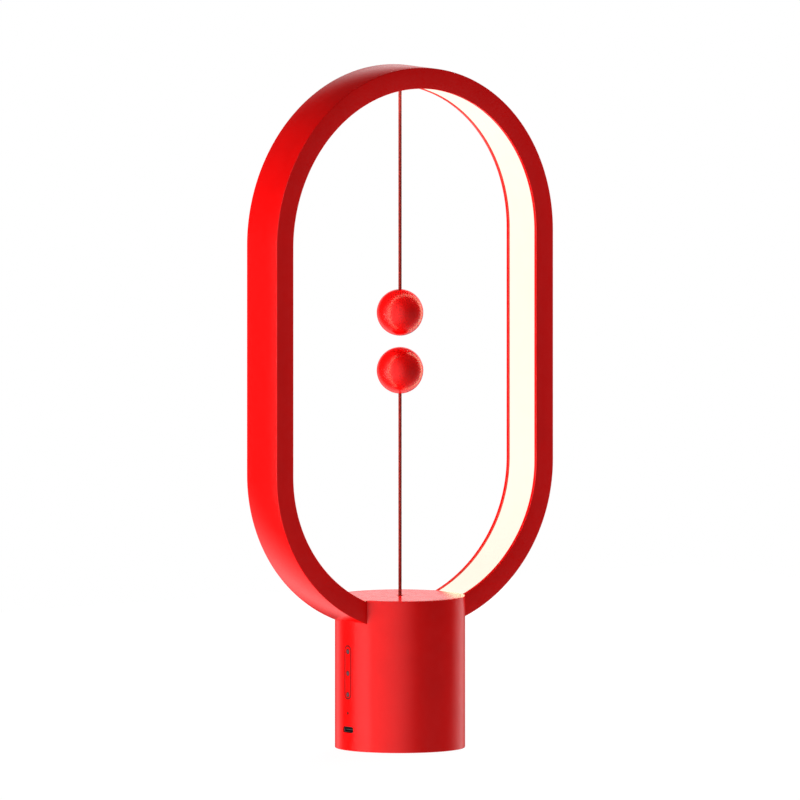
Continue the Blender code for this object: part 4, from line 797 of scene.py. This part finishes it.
def slot_outline(x, level, half_width, half_height, corner_radius, steps=8):
    """List points round a rounded slot that lies in the plane at x."""
    points = []
    quarters = ((1, 1, 0), (-1, 1, 1), (-1, -1, 2), (1, -1, 3))
    for side, rise, quarter in quarters:
        for step in range(steps + 1):
            a = math.pi / 2 * (quarter + step / steps)
            y = side * (half_width - corner_radius) + corner_radius * math.cos(a)
            z = rise * (half_height - corner_radius) + corner_radius * math.sin(a)
            points.append((x, y, level + z))
    return points


def slot_block(name, x_from, x_to, level, half_width, half_height, corner_radius):
    """A bar with a rounded slot's outline, made without points that fall together."""
    points = []
    for point in slot_outline(x_from, level, half_width, half_height, corner_radius):
        if not points or (Vector(point) - Vector(points[-1])).length > TOO_CLOSE:
            points.append(point)
    if (Vector(points[0]) - Vector(points[-1])).length < TOO_CLOSE:
        points.pop()
    return block(name, points, (x_to - x_from, 0, 0))


def oval_block(name, inset, face, level):
    """A block with the outline of the band's lower end, at an inset from its outside."""
    start = math.asin(SLOT_REACH / (HALF_WIDTH - inset))
    angles = [start * (2 * step / SLOT_STEPS - 1) for step in range(SLOT_STEPS + 1)]
    points = [((HALF_WIDTH - inset) * math.sin(a), -face,
               LOWER_CENTRE - (LOWER_DROP - inset) * math.cos(a)) for a in angles]
    points += [(SLOT_REACH, -face, level), (-SLOT_REACH, -face, level)]
    return block(name, points, (0, 2 * face, 0))


windows = [
    slot_block("plate_window", outside, inside, PLATE_MIDDLE, PLATE_HALF_WIDTH + GAP,
               PLATE_HALF_HEIGHT + GAP, PLATE_HALF_WIDTH + GAP),
    slot_block("port_window", outside, inside, PORT_LEVEL, PORT_HALF_WIDTH, PORT_HALF_HEIGHT, PORT_CORNER),
    bar("pin_hole", (0, PIN_HEIGHT), PIN_HOLE, outside, inside, along="X", steps=24),
    oval_block("band_slot", -SLOT_PLAY, BAND_FACE + SLOT_PLAY, DRUM_TOP + OVERREACH),
]
apply_boolean(drum, windows, "DIFFERENCE")
finish_piece(drum, "stand", "red_plastic", "base_housing")

# %% [markdown]
# The drum's lid drops into the wall from above, flush with the rim. Where the band passes, two ears
# carry the lid out to the drum's outside, so the top reads as one flat disc. A skirt below locates
# it. The ears are blocks with the drum's own curve, joined before the band's space is cut away.

# %% Drum lid
guide_low, guide_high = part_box("lower_string_guide")
CAP_RADIUS = DRUM_BORE - GAP
GUIDE_RADIUS = 5.0 * MM
SKIRT = 1.2 * MM
SKIRT_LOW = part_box("base_top_cap")[0].z
LID_EDGE = 0.15 * MM
EAR_STEPS = 24
SPACE_LOW = CAP_BELOW - 30 * MM

lid_profile = [
    (GUIDE_RADIUS + GAP, 0, CAP_BELOW), (GUIDE_RADIUS + GAP, 0, DRUM_TOP),
    (CAP_RADIUS - LID_EDGE, 0, DRUM_TOP), (CAP_RADIUS, 0, DRUM_TOP - LID_EDGE), (CAP_RADIUS, 0, SKIRT_LOW),
    (CAP_RADIUS - SKIRT, 0, SKIRT_LOW), (CAP_RADIUS - SKIRT, 0, CAP_BELOW),
]
lid = turn("drum_lid", lid_profile, DRUM_STEPS)

EAR_HALF = BAND_FACE
ear_reach = math.asin(EAR_HALF / DRUM_RADIUS)
ear_root = math.sqrt(CAP_RADIUS ** 2 - EAR_HALF ** 2) - SKIRT
ears = []
for side in (-1, 1):
    rim = [ear_reach * (2 * step / EAR_STEPS - 1) for step in range(EAR_STEPS + 1)]
    outline = [(side * DRUM_RADIUS * math.cos(a), DRUM_RADIUS * math.sin(a), CAP_BELOW) for a in rim]
    outline += [(side * ear_root, EAR_HALF, CAP_BELOW), (side * ear_root, -EAR_HALF, CAP_BELOW)]
    ears.append(block("ear", outline, (0, 0, CAP_PLATE)))
apply_boolean(lid, ears, "UNION")

band_space = oval_block("band_space", BAND_THICKNESS + GAP, BAND_FACE + GAP, SPACE_LOW)
apply_boolean(lid, [band_space], "DIFFERENCE")
finish_piece(lid, "stand", "red_plastic", "base_top_cap")

# %% [markdown]
# In the middle of the lid sits the bush that guides the lower string, pressed in flush so that its
# edge hardly shows. Its neck is drawn a little wider than the solid's for that. Its mouth is rounded,
# because the string slides through it each time the ball is lifted, and wider than the solid's,
# because the laid string is thicker.

# %% String guide
guide_bead_low, guide_bead_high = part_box("lower_string_bead")
LOWER_PIVOT = (guide_bead_low.z + guide_bead_high.z) / 2
GUIDE_CUP = (guide_bead_high.z - guide_bead_low.z) / 2 + GAP
GUIDE_MOUTH = 1.88 * MM
GUIDE_LIP_ANGLE = math.asin(0.65)
GUIDE_FLANGE = guide_high.x
NECK_RADIUS = GUIDE_RADIUS + 0.8 * GAP
flange_high = CAP_BELOW - GAP
flange_foot = flange_high - FLANGE_THICKNESS
guide_profile = (
    [(GUIDE_MOUTH, 0, DRUM_TOP - RIM), (GUIDE_MOUTH + 0.3 * RIM, 0, DRUM_TOP - 0.3 * RIM),
     (GUIDE_MOUTH + RIM, 0, DRUM_TOP), (NECK_RADIUS, 0, DRUM_TOP),
     (NECK_RADIUS, 0, flange_high), (GUIDE_FLANGE, 0, flange_high),
     (GUIDE_FLANGE, 0, flange_foot), (GUIDE_RADIUS, 0, flange_foot),
     (GUIDE_RADIUS, 0, guide_low.z), (GUIDE_CUP, 0, guide_low.z)]
    + cup_wall(GUIDE_CUP, LOWER_PIVOT, GUIDE_LIP_ANGLE, sign=1)
)
guide = turn("string_guide", guide_profile, 64)
finish_piece(guide, "stand", "red_plastic", "lower_string_guide")

# %% [markdown]
# Each ball is turned from one profile: a sphere with a hole for the string, its rim rounded over.
# Eighty steps round and fifty six along the arc keep the outline and the highlight clean. The
# lower ball is the same piece turned over.

# %% Balls
HOLE = 1.15 * MM
HOLE_RIM = 0.35 * MM
BALL_STEPS = 80
ARC_STEPS = 56
STRING_DEPTH = 7.9 * MM


def ball(name, body, shell, plug, string_side):
    """Make a ball whose string leaves upwards at side 1 or downwards at side -1."""
    low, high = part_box(shell)
    radius = high.x
    centre = low.z + radius if string_side > 0 else high.z - radius
    rim_angle = math.asin((HOLE + HOLE_RIM) / radius)
    arc = [math.pi - (math.pi - rim_angle) * step / ARC_STEPS for step in range(ARC_STEPS + 1)]
    profile = [(radius * math.sin(a), 0, centre + string_side * radius * math.cos(a)) for a in arc]
    profile[0] = (0, 0, centre - string_side * radius)
    rim_height = radius * math.cos(rim_angle)
    profile += [(HOLE, 0, centre + string_side * (rim_height - HOLE_RIM)),
                (HOLE, 0, centre + string_side * STRING_DEPTH), (0, 0, centre + string_side * STRING_DEPTH)]
    piece = turn(name, profile, BALL_STEPS, closed=False)
    finish_piece(piece, body, "red_gloss", shell, plug)


ball("upper_ball", "upper_pendulum", "upper_ball_shell", "upper_ball_plug", 1)
ball("lower_ball", "lower_pendulum", "lower_ball_shell", "lower_ball_plug", -1)

# %% [markdown]
# The strings are thin round cords: seven fine yarns laid round a core. One yarn's section is drawn
# beside the axis, copied round it, and all are carried up a screw, which is how a rope walk lays a
# rope too. The section is stretched round the axis, because a yarn crosses it at a slant. Over its
# yarns a string is as thick as the photograph shows it, a little thicker than its solid.

# %% Strings
STRING_RADIUS = 0.99 * MM
YARNS = 7
YARN = 0.31 * STRING_RADIUS
YARN_OFFSET = STRING_RADIUS - YARN
CORE = 0.80 * YARN_OFFSET
LAY = 6.0 * MM
STEPS_PER_TURN = 16
YARN_SIDES = 8
YARN_SMOOTH_ANGLE = math.radians(60)
ROUTE_STEPS = 16


def laid_string(name, low, high):
    """Lay the yarns into a string on the lamp's axis between two heights."""
    slant = math.atan(math.tau * YARN_OFFSET / LAY)
    section = [(YARN_OFFSET + YARN * math.cos(a), YARN / math.cos(slant) * math.sin(a), low)
               for a in (math.tau * side / YARN_SIDES for side in range(YARN_SIDES))]
    piece = draw(name, section)
    bpy.ops.mesh.spin(steps=YARNS, angle=math.tau, dupli=True, center=(0, 0, low), axis=(0, 0, 1))
    bpy.ops.mesh.select_all(action="SELECT")
    bpy.ops.mesh.remove_doubles(threshold=MERGE_DISTANCE)
    bpy.ops.mesh.primitive_circle_add(vertices=2 * YARN_SIDES, radius=CORE, location=(0, 0, low))
    bpy.ops.object.mode_set(mode="OBJECT")
    choose(piece)
    screw = piece.modifiers.new("lay", "SCREW")
    turns = (high - low) / LAY
    screw.axis = "Z"
    screw.angle = math.tau * turns
    screw.screw_offset = high - low
    screw.steps = screw.render_steps = round(turns * STEPS_PER_TURN)
    bpy.ops.object.modifier_apply(modifier=screw.name)
    bpy.ops.object.mode_set(mode="EDIT")
    bpy.ops.mesh.select_all(action="SELECT")
    bpy.ops.mesh.fill_holes(sides=0)
    return tidy(piece, YARN_SMOOTH_ANGLE)


for label, solid, body in (("upper", "upper_string", "upper_pendulum"),
                           ("lower", "lower_string", "lower_pendulum")):
    solid_low, solid_high = (end.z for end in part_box(solid))
    string = laid_string(label + "_cord", solid_low, solid_high)
    finish_piece(string, body, "red_string", solid)
    route = [(0, 0, solid_low + (solid_high - solid_low) * step / ROUTE_STEPS)
             for step in range(ROUTE_STEPS + 1)]
    if label == "upper":
        route.reverse()
    print(label, "string:", round(solid_high - solid_low, 5), "m")

# %% [markdown]
# The button plate is a pill shaped block with a flange that holds it behind the wall. It is trimmed
# to a round bar of the drum's radius, so its face continues the drum's. Three holes let the buttons
# through.

# %% Button plate
button_boxes = {name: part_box("button_" + name) for name in ("upper", "middle", "lower")}
button_levels = {name: (low.z + high.z) / 2 for name, (low, high) in button_boxes.items()}
BUTTON_RADIUS = 1.2 * MM
BUTTON_HOLE = 1.6 * MM
PLATE_INSET = 0.45 * MM
PLATE_FLANGE_THICKNESS = 1.2 * MM
PLATE_BACK = bezel_high.x - PLATE_FLANGE_THICKNESS
plate_half = PLATE_HALF_WIDTH - PLATE_INSET
flange_half = PLATE_HALF_WIDTH + PLATE_FLANGE
plate = slot_block("button_plate", outside, PLATE_BACK, PLATE_MIDDLE,
                   plate_half, PLATE_HALF_HEIGHT - PLATE_INSET, plate_half)
plate_flange = slot_block("plate_flange", PLATE_BACK, bezel_high.x, PLATE_MIDDLE,
                          flange_half, PLATE_HALF_HEIGHT + PLATE_FLANGE, flange_half)
drum_core = bar("drum_core", (0, 0), DRUM_RADIUS, 0, DRUM_TOP, steps=DRUM_STEPS)
apply_boolean(plate, [plate_flange], "UNION")
apply_boolean(plate, [drum_core], "INTERSECT")
button_holes = [bar("button_hole", (0, level), BUTTON_HOLE, outside, 0, along="X", steps=32)
                for level in button_levels.values()]
apply_boolean(plate, button_holes, "DIFFERENCE")
round_edges(plate, 0.12 * MM)
finish_piece(plate, "stand", "red_plastic", "button_bezel")

# %% [markdown]
# Thin black strips lie in the gap round the plate and round each button, a little below the skin.
# They are painted shade: they stand for the shadow in those gaps and draw the fine dark outlines
# that the panel shows. A black disc just under the skin is painted shade too: it stands for the dark
# inside of the pin hole in front of the indicator light.

# %% Painted shade in the gaps
SHADE_PLAY = 0.03 * MM
SHADE_DEPTH = 0.8 * MM
PLATE_SHADE = 0.20 * MM - DRUM_RADIUS
BUTTON_SHADE = 0.14 * MM - DRUM_RADIUS
PIN_SHADE_FRONT = 0.09 * MM - DRUM_RADIUS
PIN_SHADE_EDGE = PIN_SHADE_FRONT + 0.1 * MM
PIN_SHADE_BACK = PIN_SHADE_FRONT + 1.2 * MM

window_half = PLATE_HALF_WIDTH + GAP - SHADE_PLAY
bore_half = plate_half + SHADE_PLAY
# Painted shade: a black strip in the gap round the plate stands for the shadow in that gap.
plate_gap_shade = slot_block("panel_gap_shade", PLATE_SHADE, PLATE_SHADE + SHADE_DEPTH, PLATE_MIDDLE,
                  window_half, PLATE_HALF_HEIGHT + GAP - SHADE_PLAY, window_half)
shade_bore = slot_block("shade_bore", PLATE_SHADE - OVERCUT, PLATE_SHADE + 2 * SHADE_DEPTH, PLATE_MIDDLE,
                       bore_half, PLATE_HALF_HEIGHT - PLATE_INSET + SHADE_PLAY, bore_half)
apply_boolean(plate_gap_shade, [shade_bore], "DIFFERENCE")
finish_piece(plate_gap_shade, "stand", "black_rubber")
# Painted shade: a black ring in the gap round each button stands for the shadow there.
shade_hole = BUTTON_RADIUS + SHADE_PLAY
shade_reach = BUTTON_HOLE - SHADE_PLAY
shade_back = BUTTON_SHADE + SHADE_DEPTH
for name, level in button_levels.items():
    ring = [(BUTTON_SHADE, 0, level + shade_hole), (BUTTON_SHADE, 0, level + shade_reach),
            (shade_back, 0, level + shade_reach), (shade_back, 0, level + shade_hole)]
    finish_piece(turn(name + "_button_gap_shade", ring, 40, centre=(0, 0, level), axis=(1, 0, 0)),
                 "stand", "black_rubber")
# Painted shade: a black disc just under the skin stands for the dark inside of the pin hole.
pin_reach = PIN_HOLE - SHADE_PLAY / 2
pin_shade = [(PIN_SHADE_FRONT, 0, PIN_HEIGHT), (PIN_SHADE_FRONT, 0, PIN_HEIGHT + 0.8 * pin_reach),
          (PIN_SHADE_EDGE, 0, PIN_HEIGHT + pin_reach), (PIN_SHADE_BACK, 0, PIN_HEIGHT + pin_reach),
          (PIN_SHADE_BACK, 0, PIN_HEIGHT)]
finish_piece(turn("pin_hole_shade", pin_shade, 24, centre=(0, 0, PIN_HEIGHT), axis=(1, 0, 0), closed=False),
             "stand", "black_rubber")

# %% [markdown]
# A button is a small turned cap with a slightly domed face, a flange that keeps it in, and a stem
# that reaches the push switch. It is spun round its own axis, which points out of the drum's side.
# The photograph shows the caps a little smaller than the solids are, so they are drawn so here.

# %% Buttons
BUTTON_FLANGE = 2.3 * MM
BUTTON_FLANGE_THICKNESS = 1 * MM
BUTTON_STEM = 1.2 * MM
STEM_EDGE = 0.2 * MM
CAP_EDGE = 0.3 * MM
DOME_RADIUS = BUTTON_RADIUS - 0.15 * MM
DOME_DEPTH = 0.12 * MM
DOME_STEPS = 6
flange_front = bezel_high.x + GAP
flange_back = flange_front + BUTTON_FLANGE_THICKNESS

for name, (low, high) in button_boxes.items():
    level = button_levels[name]
    face, stem_end = low.x, high.x
    dome = [(face + DOME_DEPTH * share ** 2, 0, level + DOME_RADIUS * share)
            for share in (step / DOME_STEPS for step in range(DOME_STEPS + 1))]
    profile = dome + [
        (face + CAP_EDGE, 0, level + BUTTON_RADIUS), (flange_front, 0, level + BUTTON_RADIUS),
        (flange_front, 0, level + BUTTON_FLANGE), (flange_back, 0, level + BUTTON_FLANGE),
        (flange_back, 0, level + BUTTON_STEM), (stem_end - STEM_EDGE, 0, level + BUTTON_STEM),
        (stem_end, 0, level + BUTTON_STEM - STEM_EDGE), (stem_end, 0, level)]
    button = turn(name + "_button_cap", profile, 40, centre=(0, 0, level), axis=(1, 0, 0), closed=False)
    finish_piece(button, name + "_button", "grey_rubber", "button_" + name)

# %% [markdown]
# The socket is a thin nickel sleeve with a black tongue in it. The sleeve is two rounded slots, the
# inner one cut from the outer, with its edges broken. The tongue carries two rows of yellow metal
# contacts, shallow bars that stand just proud of it. A loop draws them, and they are joined into one
# piece, because nobody would take them apart.

# %% Socket
tongue_low, tongue_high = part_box("socket_tongue")
SHELL_WALL = 0.3 * MM
SHELL_HALF_WIDTH = shell_high.y
SHELL_HALF_HEIGHT = (shell_high.z - shell_low.z) / 2
SHELL_CORNER = PORT_CORNER - GAP
sleeve = slot_block("socket_sleeve", shell_low.x, shell_high.x, PORT_LEVEL,
                    SHELL_HALF_WIDTH, SHELL_HALF_HEIGHT, SHELL_CORNER)
bore = slot_block("socket_bore", shell_low.x - OVERCUT, shell_high.x + OVERCUT, PORT_LEVEL,
                  SHELL_HALF_WIDTH - SHELL_WALL, SHELL_HALF_HEIGHT - SHELL_WALL, SHELL_CORNER - SHELL_WALL)
apply_boolean(sleeve, [bore], "DIFFERENCE")
round_edges(sleeve, 0.08 * MM)
finish_piece(sleeve, "stand", "nickel", "socket_shell")

TONGUE_HALF_WIDTH = 3.35 * MM
TONGUE_HALF_HEIGHT = 0.35 * MM
TONGUE_CORNER = 0.2 * MM
BLOCK_CORNER = 0.7 * MM
BLOCK_FRONT = tongue_low.x + 5.2 * MM
tongue = slot_block("socket_blade", tongue_low.x, tongue_high.x, PORT_LEVEL,
                    TONGUE_HALF_WIDTH, TONGUE_HALF_HEIGHT, TONGUE_CORNER)
socket_block = slot_block("socket_block", BLOCK_FRONT, tongue_high.x, PORT_LEVEL,
                          tongue_high.y, (tongue_high.z - tongue_low.z) / 2, BLOCK_CORNER)
apply_boolean(tongue, [socket_block], "UNION")
round_edges(tongue, 0.06 * MM)
finish_piece(tongue, "stand", "black_plastic", "socket_tongue")

CONTACTS = 12
CONTACT_PITCH = 0.5 * MM
CONTACT_HALF_WIDTH = 0.13 * MM
CONTACT_RISE = 0.04 * MM
CONTACT_LENGTH = 4.2 * MM
CONTACT_FRONT = tongue_low.x + 0.4 * MM
contacts = []
for side in (-1, 1):
    for index in range(CONTACTS):
        y = (index - (CONTACTS - 1) / 2) * CONTACT_PITCH
        z = PORT_LEVEL + side * TONGUE_HALF_HEIGHT
        outline = [(CONTACT_FRONT, y + a * CONTACT_HALF_WIDTH, z + b * CONTACT_RISE) for a, b in SQUARE]
        contacts.append(block("contact", outline, (CONTACT_LENGTH, 0, 0)))
choose(contacts[0])
for contact in contacts:
    contact.select_set(True)
bpy.ops.object.join()
contact_rows = bpy.context.active_object
contact_rows.name = contact_rows.data.name = "socket_contacts"
round_edges(contact_rows, 0.03 * MM, segments=1)
finish_piece(contact_rows, "stand", "brass")

# %% [markdown]
# A black moulded cover closes the drum below. It is turned with the groove of the rubber foot and a
# shallow round recess in the middle, and four sunk holes for the screws are cut into it.

# %% Bottom cover
foot_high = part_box("foot_ring")[1]
FOOT_OUTER = foot_high.x
FOOT_WIDTH = 6 * MM
FOOT_INNER = FOOT_OUTER - FOOT_WIDTH
GROOVE_TOP = foot_high.z + GAP
COVER_EDGE = 0.3 * MM
RECESS = 12 * MM
RECESS_DEPTH = 0.5 * MM
cover_profile = [
    (0, 0, cover_high.z), (CAP_RADIUS, 0, cover_high.z), (CAP_RADIUS, 0, cover_low.z + COVER_EDGE),
    (CAP_RADIUS - COVER_EDGE, 0, cover_low.z), (FOOT_OUTER + GAP, 0, cover_low.z),
    (FOOT_OUTER + GAP, 0, GROOVE_TOP), (FOOT_INNER - GAP, 0, GROOVE_TOP),
    (FOOT_INNER - GAP, 0, cover_low.z), (RECESS, 0, cover_low.z),
    (RECESS - RECESS_DEPTH, 0, cover_low.z + RECESS_DEPTH), (0, 0, cover_low.z + RECESS_DEPTH)]
cover = turn("base_plate", cover_profile, 128, closed=False)
HEAD = 2.4 * MM
HEAD_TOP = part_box("bottom_screw_1")[0].z + 1.5 * MM
sinks = []
for place in corner_places:
    sinks.append(bar("sink", place, HEAD + GAP, cover_low.z - OVERCUT, HEAD_TOP + GAP))
    sinks.append(bar("hole", place, SCREW_HOLE, cover_low.z - OVERCUT, cover_high.z + OVERCUT))
apply_boolean(cover, sinks, "DIFFERENCE")
round_edges(cover, 0.12 * MM)
finish_piece(cover, "stand", "black_plastic", "bottom_cover")

# %% [markdown]
# The lamp stands on a rubber ring with fine ribs below, as moulded rubber feet have, so that it grips
# and doesn't rock. The ribs are part of the turned profile: a land, a groove with slanted sides, and
# so on across the ring.

# %% Rubber foot
RIBS = 4
RIB_MARGIN = 0.5 * MM
RIB_DEPTH = 0.25 * MM
FOOT_EDGE = 0.3 * MM
rib_step = (FOOT_WIDTH - 2 * RIB_MARGIN) / (4 * RIBS)
foot_profile = [(FOOT_INNER, 0, foot_high.z), (FOOT_INNER, 0, FOOT_EDGE), (FOOT_INNER + FOOT_EDGE, 0, 0)]
for rib in range(RIBS):
    start = FOOT_INNER + RIB_MARGIN + rib * 4 * rib_step
    if rib:
        foot_profile.append((start, 0, 0))
    foot_profile += [(start + 2 * rib_step, 0, 0), (start + 2.5 * rib_step, 0, RIB_DEPTH),
                     (start + 3.5 * rib_step, 0, RIB_DEPTH)]
foot_profile += [(FOOT_OUTER - RIB_MARGIN, 0, 0), (FOOT_OUTER - FOOT_EDGE, 0, 0),
                 (FOOT_OUTER, 0, FOOT_EDGE), (FOOT_OUTER, 0, foot_high.z)]
foot = turn("foot", foot_profile, 128)
finish_piece(foot, "stand", "black_rubber", "foot_ring")

# %% [markdown]
# A screw is turned and then gets a cross recess from two crossed bars. Its thread is a screwed
# profile on a real one, but it is hidden in the boss, so the shank stays smooth here.

# %% Bottom screws
CROWN_REACH = 0.94 * HEAD
CROWN_DEPTH = 0.35 * MM
CROWN_STEPS = 6
HEAD_EDGE = 0.7 * MM
SHANK = 1.2 * MM
TIP = 0.5 * MM
TIP_LENGTH = 0.8 * MM
BLADE_HALF_LENGTH = 1.35 * MM
BLADE_HALF_WIDTH = 0.28 * MM
BLADE_HEIGHT = 1.9 * MM


def bottom_screw(index):
    """Make a pan head screw in place of its solid."""
    low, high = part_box(f"bottom_screw_{index}")
    x, y = (math.copysign(SCREW_CIRCLE * math.sqrt(0.5), value) for value in (low + high).xy)
    crown = [(CROWN_REACH * share, low.z + CROWN_DEPTH * share ** 2)
             for share in (step / CROWN_STEPS for step in range(CROWN_STEPS + 1))]
    outline = crown + [(HEAD, low.z + HEAD_EDGE), (HEAD, HEAD_TOP), (SHANK, HEAD_TOP),
                       (SHANK, high.z - TIP_LENGTH), (TIP, high.z), (0, high.z)]
    profile = [(x + radius, y, z) for radius, z in outline]
    piece = turn(f"cover_screw_{index}", profile, 40, centre=(x, y, 0), closed=False)
    blades = []
    for across, deep in ((BLADE_HALF_LENGTH, BLADE_HALF_WIDTH), (BLADE_HALF_WIDTH, BLADE_HALF_LENGTH)):
        corners = [(x + a * across, y + b * deep, low.z - OVERCUT) for a, b in SQUARE]
        blades.append(block("blade", corners, (0, 0, BLADE_HEIGHT)))
    apply_boolean(piece, blades, "DIFFERENCE")
    finish_piece(piece, "stand", "steel", f"bottom_screw_{index}")


for index in range(1, 5):
    bottom_screw(index)

# %% [markdown]
# The strips behind the diffuser light the lips and throw light on the balls and the strings. In a
# render the glowing diffuser does that with much noise, so a ring of small lamps, just clear of the
# lips, adds to it. They point inwards, and neither the camera nor a reflection shows them.

# %% Light of the diffuser
RING_POWER = 0.034
POWER_LENGTH = 50 * MM
RING_COLOUR = (1.0, 0.97, 0.86)
RING_WIDTH = 1.9 * DIFFUSER_HALF
LIP_CLEARANCE = 0.3 * MM
RING_RADIUS = HALF_WIDTH - BAND_THICKNESS - LIP_CLEARANCE
RING_DROP = RING_RADIUS - HALF_WIDTH + LOWER_DROP
ARC_LAMPS = 8
SIDE_LAMPS = 3
LOW_LAMPS = 3
LOW_START, LOW_STEP = 0.22, 0.36
LOW_LENGTH = 0.3 * RING_RADIUS
LAMP_FILL = 0.95


def ring_lamp(index, x, z, turned, length):
    """Add one narrow lamp that lies along the diffuser, turned about Y so that it shines inwards."""
    power = RING_POWER * length / POWER_LENGTH
    lamp = area_lamp(f"ring_lamp_{index}", (x, 0, z), power, "RECTANGLE", length)
    lamp.data.size_y = RING_WIDTH
    lamp.data.color = RING_COLOUR
    lamp.rotation_euler = (0, turned, 0)


index = 0
for step in range(ARC_LAMPS):
    a = math.pi * (step + 0.5) / ARC_LAMPS
    ring_lamp(index, RING_RADIUS * math.cos(a), TOP_CENTRE + RING_RADIUS * math.sin(a),
              math.pi / 2 - a, LAMP_FILL * math.pi * RING_RADIUS / ARC_LAMPS)
    index += 1
side_length = (TOP_CENTRE - LOWER_CENTRE) / SIDE_LAMPS
for side in (-1, 1):
    for step in range(SIDE_LAMPS):
        ring_lamp(index, side * RING_RADIUS, LOWER_CENTRE + side_length * (step + 0.5),
                  side * math.pi / 2, LAMP_FILL * side_length)
        index += 1
    for step in range(LOW_LAMPS):
        a = LOW_START + LOW_STEP * step
        ring_lamp(index, side * RING_RADIUS * math.cos(a), LOWER_CENTRE - RING_DROP * math.sin(a),
                  side * (math.pi / 2 + a), LOW_LENGTH)
        index += 1
print("ring lamps:", index)

# %% [markdown]
# The lamp stands on a pale floor. The photograph's background is pure white with no visible edge,
# so for the camera the floor is mostly lit white, and only a soft contact shadow remains.

# %% Floor
FLOOR_LEVEL = -0.05 * MM
FLOOR_SIZE = 1.6
FLOOR_COLOUR = (0.60, 0.60, 0.60)
FLOOR_GLOW = 1.08
GLOW_SHARE = 0.90

bpy.ops.mesh.primitive_plane_add(size=FLOOR_SIZE, location=(0, 0, FLOOR_LEVEL))
floor = bpy.context.active_object
floor.name = floor.data.name = "floor"
bpy.ops.object.mode_set(mode="EDIT")
bpy.ops.mesh.subdivide(number_cuts=3)
bpy.ops.object.mode_set(mode="OBJECT")
floor_finish = new_finish("floor_white", FLOOR_COLOUR, 0.85)
floor_tree = floor_finish.node_tree
floor_shader = floor_tree.nodes["Principled BSDF"]
output = floor_tree.nodes["Material Output"]
glow = floor_tree.nodes.new("ShaderNodeEmission")
glow.inputs["Color"].default_value = (1.0, 1.0, 1.0, 1.0)
glow.inputs["Strength"].default_value = FLOOR_GLOW
blend = floor_tree.nodes.new("ShaderNodeMixShader")
floor_rays = floor_tree.nodes.new("ShaderNodeLightPath")
share = floor_tree.nodes.new("ShaderNodeMath")
share.operation = "MULTIPLY"
share.inputs[1].default_value = GLOW_SHARE
floor_tree.links.new(floor_rays.outputs["Is Camera Ray"], share.inputs[0])
floor_tree.links.new(share.outputs[0], blend.inputs["Fac"])
floor_tree.links.new(floor_shader.outputs["BSDF"], blend.inputs[1])
floor_tree.links.new(glow.outputs["Emission"], blend.inputs[2])
floor_tree.links.new(blend.outputs["Shader"], output.inputs["Surface"])
vary(floor_finish, add_noise(floor_finish, 12.0), "Roughness", 0.80, 0.90)
floor.data.materials.append(floor_finish)
floor.visible_diffuse = False
floor.visible_glossy = False
floor.visible_shadow = False
print("floor laid")
